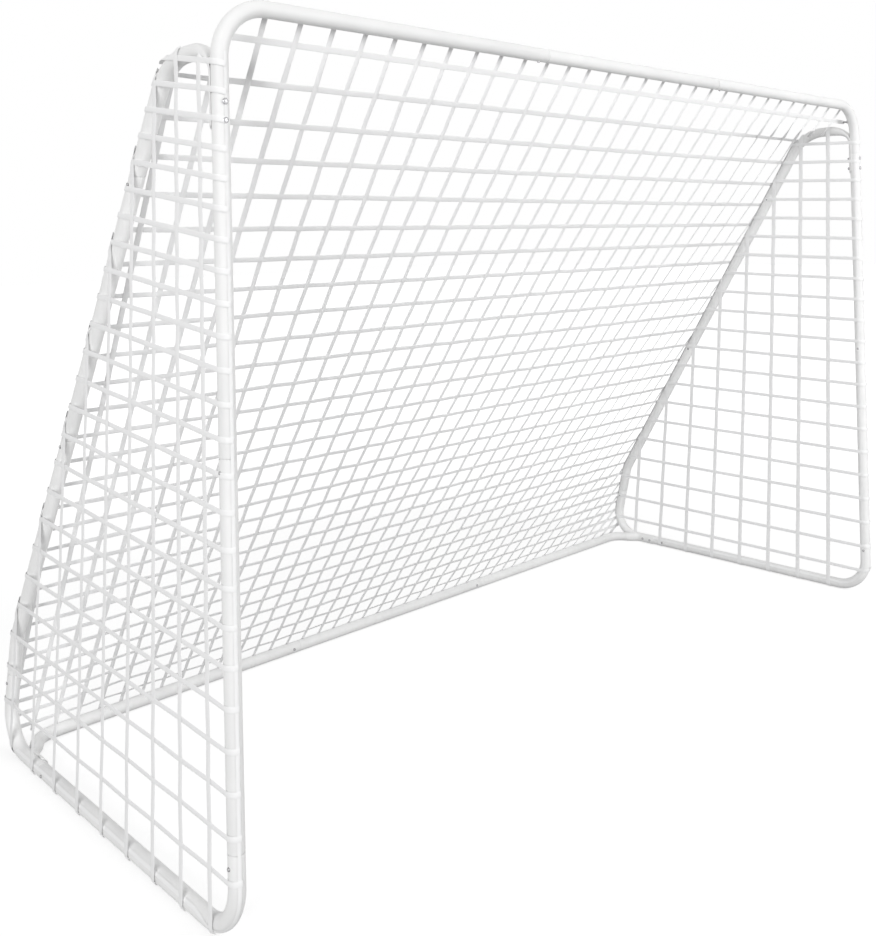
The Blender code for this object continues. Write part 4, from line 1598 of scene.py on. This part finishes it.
    def edge(self) -> Strand:
        """The edge cord down the post, round the front bend and back along the base."""
        x, ground = self.x, LAYOUT.ground_z
        top, high, low = (1.715, 98.0, 76.0) if self.side is Side.LEFT else (1.60, 22.0, -10.0)
        base_turn, bend_top, bend_reach, rear = -36.0, LAYOUT.front_bend + 0.018, 0.14, 1.06
        corners = [Vector((x, 0, top)), Vector((x, 0, ground)), Vector((x, rear, ground))]
        path = BentPath(corners, (LAYOUT.front_bend,)).stations()
        strand = Strand(thickness=self.edge_thickness)
        points = [path[0]]
        for (near, way), (far, far_way) in zip(path, path[1:]):
            steps = max(1, math.ceil((far - near).length / self.edge_step))
            points += [(near.lerp(far, step / steps), way.lerp(far_way, step / steps))
                       for step in range(1, steps + 1)]
        for point, way in points:
            outward = way.normalized().cross(RIGHT)
            if point.y < 0.001:
                share = min(1.0, max(0.0, (top - point.z) / (top - bend_top)))
                turn = high + (low - high) * share
            else:
                turn = low + (base_turn - low) * eased(min(1.0, point.y / bend_reach))
            out = swung(-RIGHT, outward, math.radians(turn))
            strand.add(point + out * self.edge_radius, out, self.edge_width)
        return strand

    def build(self) -> None:
        """Builds and hands over the net."""
        uprights, levels = self.lines()
        for first, second, width, sign in ((uprights, levels, self.upright_width, 1),
                                           (levels, uprights, self.level_width, -1)):
            for i, (point, way) in enumerate(first):
                found = self.ends(point, way)
                if not found:
                    continue
                marks = []
                for j, (other, other_way) in enumerate(second):
                    slant = way.y * other_way.z - way.z * other_way.y
                    gap = other - point
                    along = (gap.y * other_way.z - gap.z * other_way.y) / slant
                    if found[0][0] < along < found[1][0]:
                        marks.append((along, sign * (-1) ** (i + j)))
                self.lay(self.cord((point, way), width, sorted(marks), found))
        self.lay(self.edge())
        self.hand_over()


@dataclass
class BackNet(Net):
    """The net between the crossbar and the rear bar, drawn back to the braces at both sides."""

    upright_width: tuple[float, float] = (0.0133, 0.0115)
    row_width: tuple[float, float] = (0.0140, 0.0108)
    edge_width: float = 0.010
    edge_lift: float = 0.0012
    edge_half: float = 1.235
    edge_turns: tuple[float, float] = (57.0, -36.0)
    brace_edge_foot: float = 0.06
    brace_edge_front: float = 0.21
    brace_edge_step: float = 0.04
    brace_edge_wider: float = 1.3
    flare_left: float = 0.30
    flare_right: float = 0.42
    flare_top: float = 1.72
    flare_fade: float = 0.04
    pull_top: float = 1.715
    edge_x: float = 1.348
    reach: float = 0.0190
    bar_near: float = 0.11
    last_free: float = 0.03
    wrap_half: float = 1.25
    top_turns: tuple[float, ...] = (60, 50, 41)
    foot_turns: tuple[float, ...] = (12, -8, -28, -48, -66)
    uprights: range = range(-3, 41)
    first_upright: tuple[float, float] = (-1.2419, -1.1843)
    upright_step: tuple[float, float] = (0.0865, 0.06357)
    row_count: int = 29
    row_start: float = 0.694
    row_step: float = 0.011614
    row_span: float = 6.94
    samples: int = 400
    shortest_run: int = 12

    def __post_init__(self) -> None:
        """Starts the mesh and notes the net's slope, its rows and the braces' line."""
        super().__post_init__()
        plan = LAYOUT
        self.viewpoint = Vector(EYE)
        self.bend = plan.front_bend
        self.drop = plan.bar_z - plan.ground_z
        down = Vector((0, plan.depth, -self.drop)).normalized()
        self.out = RIGHT.cross(down) * -1
        if self.out.y < 0:
            self.out.negate()
        self.brace = [point for point, _ in self.brace_path(0, 0.6, 0.04)]
        shares = [(j + self.row_start) * self.row_step for j in range(self.row_count)]
        self.depths = [self.row_span * share / (1 + share) for share in shares]

    def brace_path(self, x: float, foot_y: float, front_y: float) -> list[Station]:
        """The axis of a side frame's rear tubes.

        Args:
            x: where it lies.
            foot_y: where it starts on the ground.
            front_y: where it ends on the arch.

        Returns:
            Its stations.
        """
        plan = LAYOUT
        corners = [(foot_y, plan.ground_z), *plan.rear_corners, (front_y, plan.arch_z)]
        return BentPath([Vector((x, y, z)) for y, z in corners], plan.rear_bends).stations()

    def brace_y(self, z: float) -> float:
        """How far back the side frames' rear tubes are at a height."""
        for near, far in zip(self.brace, self.brace[1:]):
            if near.z <= z < far.z:
                return near.y + (far.y - near.y) * (z - near.z) / (far.z - near.z)
        return -1.0

    def pull(self, depth: float) -> float:
        """How much further from the viewpoint the net lies at the braces than its flat middle does.

        Args:
            depth: how far below the crossbar's axis.

        Returns:
            A factor of 1 or more.
        """
        y = depth * LAYOUT.depth / self.drop
        z = LAYOUT.bar_z - depth
        factor = 1.0
        for _ in range(4):
            high = self.viewpoint.z + (z - self.viewpoint.z) * factor
            high = min(max(high, LAYOUT.ground_z + 0.001), self.pull_top)
            back = self.brace_y(high) + self.reach / 0.87
            factor = max(1.0, (back - self.viewpoint.y) / (y - self.viewpoint.y))
        return 1 + (factor - 1) * eased(min(1.0, max(0.0, (self.flare_top - z) / self.flare_fade)))

    def limits(self, depth: float) -> tuple[float, float]:
        """Where the net ends to the left and right, in its flat middle's plane."""
        z = LAYOUT.bar_z - depth
        half = self.edge_x
        start = LAYOUT.bar_z - self.bend
        if z > start:
            half = LAYOUT.post_x - self.bend + math.sqrt(max(0.0, self.bend ** 2 - (z - start) ** 2))
            half = min(half, self.edge_x)
        factor = self.pull(depth)
        eye = self.viewpoint.x
        return eye + (-half - eye) / factor, eye + (half - eye) / factor

    def surface(self, x: float, depth: float) -> Vector:
        """A point of the net, this far below the crossbar's axis.

        The net's sides are drawn back to the braces along the lines of sight, so that from the
        viewpoint its cords stay straight.
        """
        plan = LAYOUT
        z = plan.bar_z - depth
        y = depth * plan.depth / self.drop
        near_end = max(0.0, 1 - depth / self.bar_near, 1 - (self.drop - depth) / self.bar_near)
        point = Vector((x, y, z))
        sight = point - self.viewpoint
        point += sight * (self.reach * eased(near_end) / sight.dot(self.out))
        left, right = self.limits(depth)
        share = max((left + self.flare_left - x) / self.flare_left,
                    (x - right + self.flare_right) / self.flare_right)
        share = eased(min(1.0, max(0.0, share)))
        return self.viewpoint + (point - self.viewpoint) * (1 + (self.pull(depth) - 1) * share)

    def facing(self, x: float, depth: float) -> Vector:
        """The way out of the net's back at a point."""
        step = 0.004
        along = self.surface(x + step, depth) - self.surface(x - step, depth)
        below = self.surface(x, depth + step) - self.surface(x, depth - step)
        way = along.cross(below)
        return way.normalized() if way.y > 0 else -way.normalized()

    def upright_x(self, k: int, depth: float) -> float:
        """Where an upright is at a depth."""
        top, foot = (first + step * k for first, step in zip(self.first_upright, self.upright_step))
        return self.at_depth((top, foot), depth)

    def at_depth(self, ends: tuple[float, float], depth: float) -> float:
        """What lies at a depth between two values, for the crossbar and the ground."""
        return ends[0] + (ends[1] - ends[0]) * depth / self.drop

    def build_upright(self, k: int) -> None:
        """Builds the k-th upright, in a run for each stretch of it that lies between the net's sides."""
        runs: list[list[float]] = [[]]
        for step in range(self.samples + 1):
            depth = self.drop * step / self.samples
            left, right = self.limits(depth)
            if left < self.upright_x(k, depth) < right:
                runs[-1].append(depth)
            elif runs[-1]:
                runs.append([])
        for run in runs:
            if len(run) > self.shortest_run:
                self.build_run(k, run[0], run[-1])

    def build_run(self, k: int, top: float, foot: float) -> None:
        """Builds one run of an upright.

        Args:
            k: the upright's number from the left.
            top: the depth that it starts at.
            foot: the depth that it ends at.
        """
        strand = Strand()
        marks = [(depth, (-1) ** (k + j)) for j, depth in enumerate(self.depths) if top < depth < foot]

        def wrap(depth: float, bar: tuple[float, float], turns: Sequence[float]) -> None:
            """Bends the cord round the bar at an end, unless it lies on the side frame there."""
            if abs(self.upright_x(k, depth)) < self.wrap_half:
                x = self.surface(self.upright_x(k, depth), depth).x
                for turn in turns:
                    out = swung(BACK, UP, math.radians(turn))
                    strand.add(Vector((x, *bar)) + out * self.reach, out,
                               self.at_depth(self.upright_width, depth))

        if top == 0.0:
            wrap(top, (0, LAYOUT.bar_z), self.top_turns)
        grounded = foot > self.drop - 0.001
        free_foot = foot - self.last_free if grounded else foot
        stops = self.stops(marks) | {top, top + 0.02, foot - 0.02, free_foot}
        for depth in sorted(stop for stop in stops if top <= stop <= free_foot):
            x = self.upright_x(k, depth)
            facing = self.facing(x, depth)
            strand.add(self.surface(x, depth) + facing * self.offset(depth, marks), facing,
                       self.at_depth(self.upright_width, depth))
        if grounded:
            slope = math.degrees(math.atan2(self.out.z, self.out.y))
            wrap(foot, (LAYOUT.depth, LAYOUT.ground_z), [slope + turn for turn in self.foot_turns])
        self.lay(strand)

    def build_row(self, j: int, depth: float) -> None:
        """Builds the j-th row, this far below the crossbar's axis."""
        left, right = self.limits(depth)
        marks = []
        for k in self.uprights:
            x = self.upright_x(k, depth)
            if left + 0.01 < x < right - 0.01:
                marks.append((x, -((-1) ** (k + j))))
        width = self.at_depth(self.row_width, depth)
        stops = self.stops(marks) | {left, right}
        for step in range(1, 8):
            stops |= {left + self.flare_left * step / 8, right - self.flare_right * step / 8}
        strand = Strand()
        for x in sorted(stop for stop in stops if left <= stop <= right):
            facing = self.facing(x, depth)
            strand.add(self.surface(x, depth) + facing * self.offset(x, marks), facing, width)
        rise = self.bend - depth
        if rise > 0:
            tube_x = LAYOUT.post_x - self.bend + math.sqrt(self.bend ** 2 - rise ** 2)
            strand.add(Vector((tube_x, self.reach, LAYOUT.bar_z - depth)), BACK, width)
        self.lay(strand)

    def build_border(self) -> None:
        """Builds the edge cords behind the bars and the braces."""
        plan = LAYOUT
        for bar, turn in zip(((0.0, plan.bar_z), (plan.depth, plan.ground_z)), self.edge_turns):
            strand = Strand()
            out = swung(BACK, UP, math.radians(turn))
            for step in range(41):
                x = self.edge_half * (step / 20 - 1)
                strand.add(Vector((x, *bar)) + out * (self.reach + self.edge_lift), out, self.edge_width)
            self.lay(strand)
        for side in Side:
            path = self.brace_path(side.value * plan.post_x, 1.0, 0.12)
            strand = Strand()
            for (near, way), (far, far_way) in zip(path, path[1:]):
                steps = max(1, math.ceil((far - near).length / self.brace_edge_step))
                for step in range(steps):
                    share = step / steps
                    point, ahead = near.lerp(far, share), way.lerp(far_way, share).normalized()
                    if point.z < self.brace_edge_foot or point.y < self.brace_edge_front:
                        continue
                    out = ahead.cross(RIGHT) * -1
                    if out.y + out.z < 0:
                        out.negate()
                    strand.add(point + out * (self.wrap_radius + self.edge_lift), out,
                               self.edge_width * self.brace_edge_wider)
            self.lay(strand)

    def build(self) -> None:
        """Builds and hands over the net."""
        for k in self.uprights:
            self.build_upright(k)
        for j, depth in enumerate(self.depths):
            self.build_row(j, depth)
        self.build_border()
        self.hand_over()


@dataclass
class Studio:
    """A plain pale floor, soft light and the camera."""

    heading: float = 43.2851
    tilt: float = 0.4306
    roll: float = -1.3231
    focal_px: float = 1023.50
    centre_px: tuple[float, float] = (438.256, 235.347)
    frame_px: tuple[int, int] = (876, 936)
    sensor: float = 36.0
    sky: float = 0.38
    floor_half: float = 40.0
    floor_white: float = 0.45
    floor_glow: float = 0.69
    far_glow: float = 0.95
    glow_reach: tuple[float, float] = (1.8, 5.0)

    def build(self) -> None:
        """Builds the floor, world, lamps and camera."""
        self.build_floor()
        self.build_world()
        self.lamp("key", (1.6, -5.0, 2.5), 3.0, 158.0)
        self.lamp("left", (-10.0, -4.6, 3.2), 5.0, 625.0)
        self.lamp("top", (-0.4, 0.8, 5.2), 4.0, 25.0)
        self.lamp("back", (3.6, 3.4, 3.0), 3.0, 25.0)
        self.build_camera()
        bpy.context.scene.view_settings.view_transform = "Standard"

    def build_floor(self) -> None:
        """A wide floor that shows white to the camera apart from the goal's shadow."""
        maker = MeshMaker()
        half = self.floor_half
        corners = ((-half, -half), (half, -half), (half, half), (-half, half))
        maker.mesh.faces.new(maker.ring([Vector((x, y, -FLOOR_GAP)) for x, y in corners]))
        floor = maker.piece("studio_floor")
        graph = MaterialGraph("studio_floor")
        graph.dress(Base_Color=(self.floor_white,) * 3 + (1.0,), Roughness=0.9, Specular_IOR_Level=0.0)
        far = graph.node("ShaderNodeVectorMath", {"Vector": graph.place()}, operation="LENGTH")
        glow = graph.remap(far.outputs["Value"], self.glow_reach, (self.floor_glow, self.far_glow))
        graph.feed(graph.shader.inputs["Emission Strength"], graph.maths("MULTIPLY", graph.seen(), glow))
        graph.shader.inputs["Emission Color"].default_value = (1, 1, 1, 1)
        floor.data.materials.append(graph.material)

    def build_world(self) -> None:
        """A soft white sky that shows pure white to the camera."""
        world = bpy.data.worlds.new("studio")
        bpy.context.scene.world = world
        world.use_nodes = True
        graph = NodeGraph(world.node_tree)
        sky = graph.tree.nodes["Background"].inputs
        sky["Color"].default_value = (1, 1, 1, 1)
        graph.feed(sky["Strength"], graph.remap(graph.seen(), (0.0, 1.0), (self.sky, 1.0)))

    def lamp(self, name: str, place: tuple[float, float, float], size: float, power: float) -> None:
        """Adds a square soft lamp that faces the goal's middle.

        Args:
            name: its name.
            place: where it hangs.
            size: its width.
            power: its power.
        """
        data = bpy.data.lights.new("studio_" + name, "AREA")
        data.shape = "SQUARE"
        data.size = size
        data.energy = power
        made = bpy.data.objects.new("studio_" + name, data)
        made.location = Vector(place) + GOAL_LINE
        aim = Vector((0, 0.5, 0.8)) - Vector(place)
        made.rotation_euler = aim.to_track_quat("-Z", "Y").to_euler()
        bpy.context.scene.collection.objects.link(made)

    def build_camera(self) -> None:
        """The camera at the photograph's angle."""
        heading, tilt, roll = (math.radians(angle) for angle in (self.heading, self.tilt, self.roll))
        ahead = swung(swung(BACK, RIGHT, heading), UP, tilt)
        level = swung(RIGHT, -BACK, heading)
        up = level.cross(ahead)
        across, upright = swung(level, up, roll), swung(up, -level, roll)
        data = bpy.data.cameras.new("photo_view")
        longest = max(self.frame_px)
        data.sensor_width = self.sensor
        data.lens = self.focal_px * self.sensor / longest
        data.shift_x = (self.frame_px[0] / 2 - self.centre_px[0]) / longest
        data.shift_y = (self.centre_px[1] - self.frame_px[1] / 2) / longest
        data.clip_end = 200.0
        camera = bpy.data.objects.new("photo_view", data)
        turn = Matrix((across, upright, -ahead)).transposed().to_4x4()
        camera.matrix_world = Matrix.Translation(Vector(EYE) + GOAL_LINE) @ turn
        bpy.context.scene.collection.objects.link(camera)
        bpy.context.scene.camera = camera


def main() -> None:
    """Builds the goal in order, then the studio."""
    logging.basicConfig(level=logging.INFO, format="%(message)s")
    Bars().build()
    for side in Side:
        SideFrame(side).build()
    BackNet("net_back").build()
    for side in Side:
        SideNet(f"net_{side.label}", side=side).build()
    Studio().build()


if __name__ == "__main__":
    main()
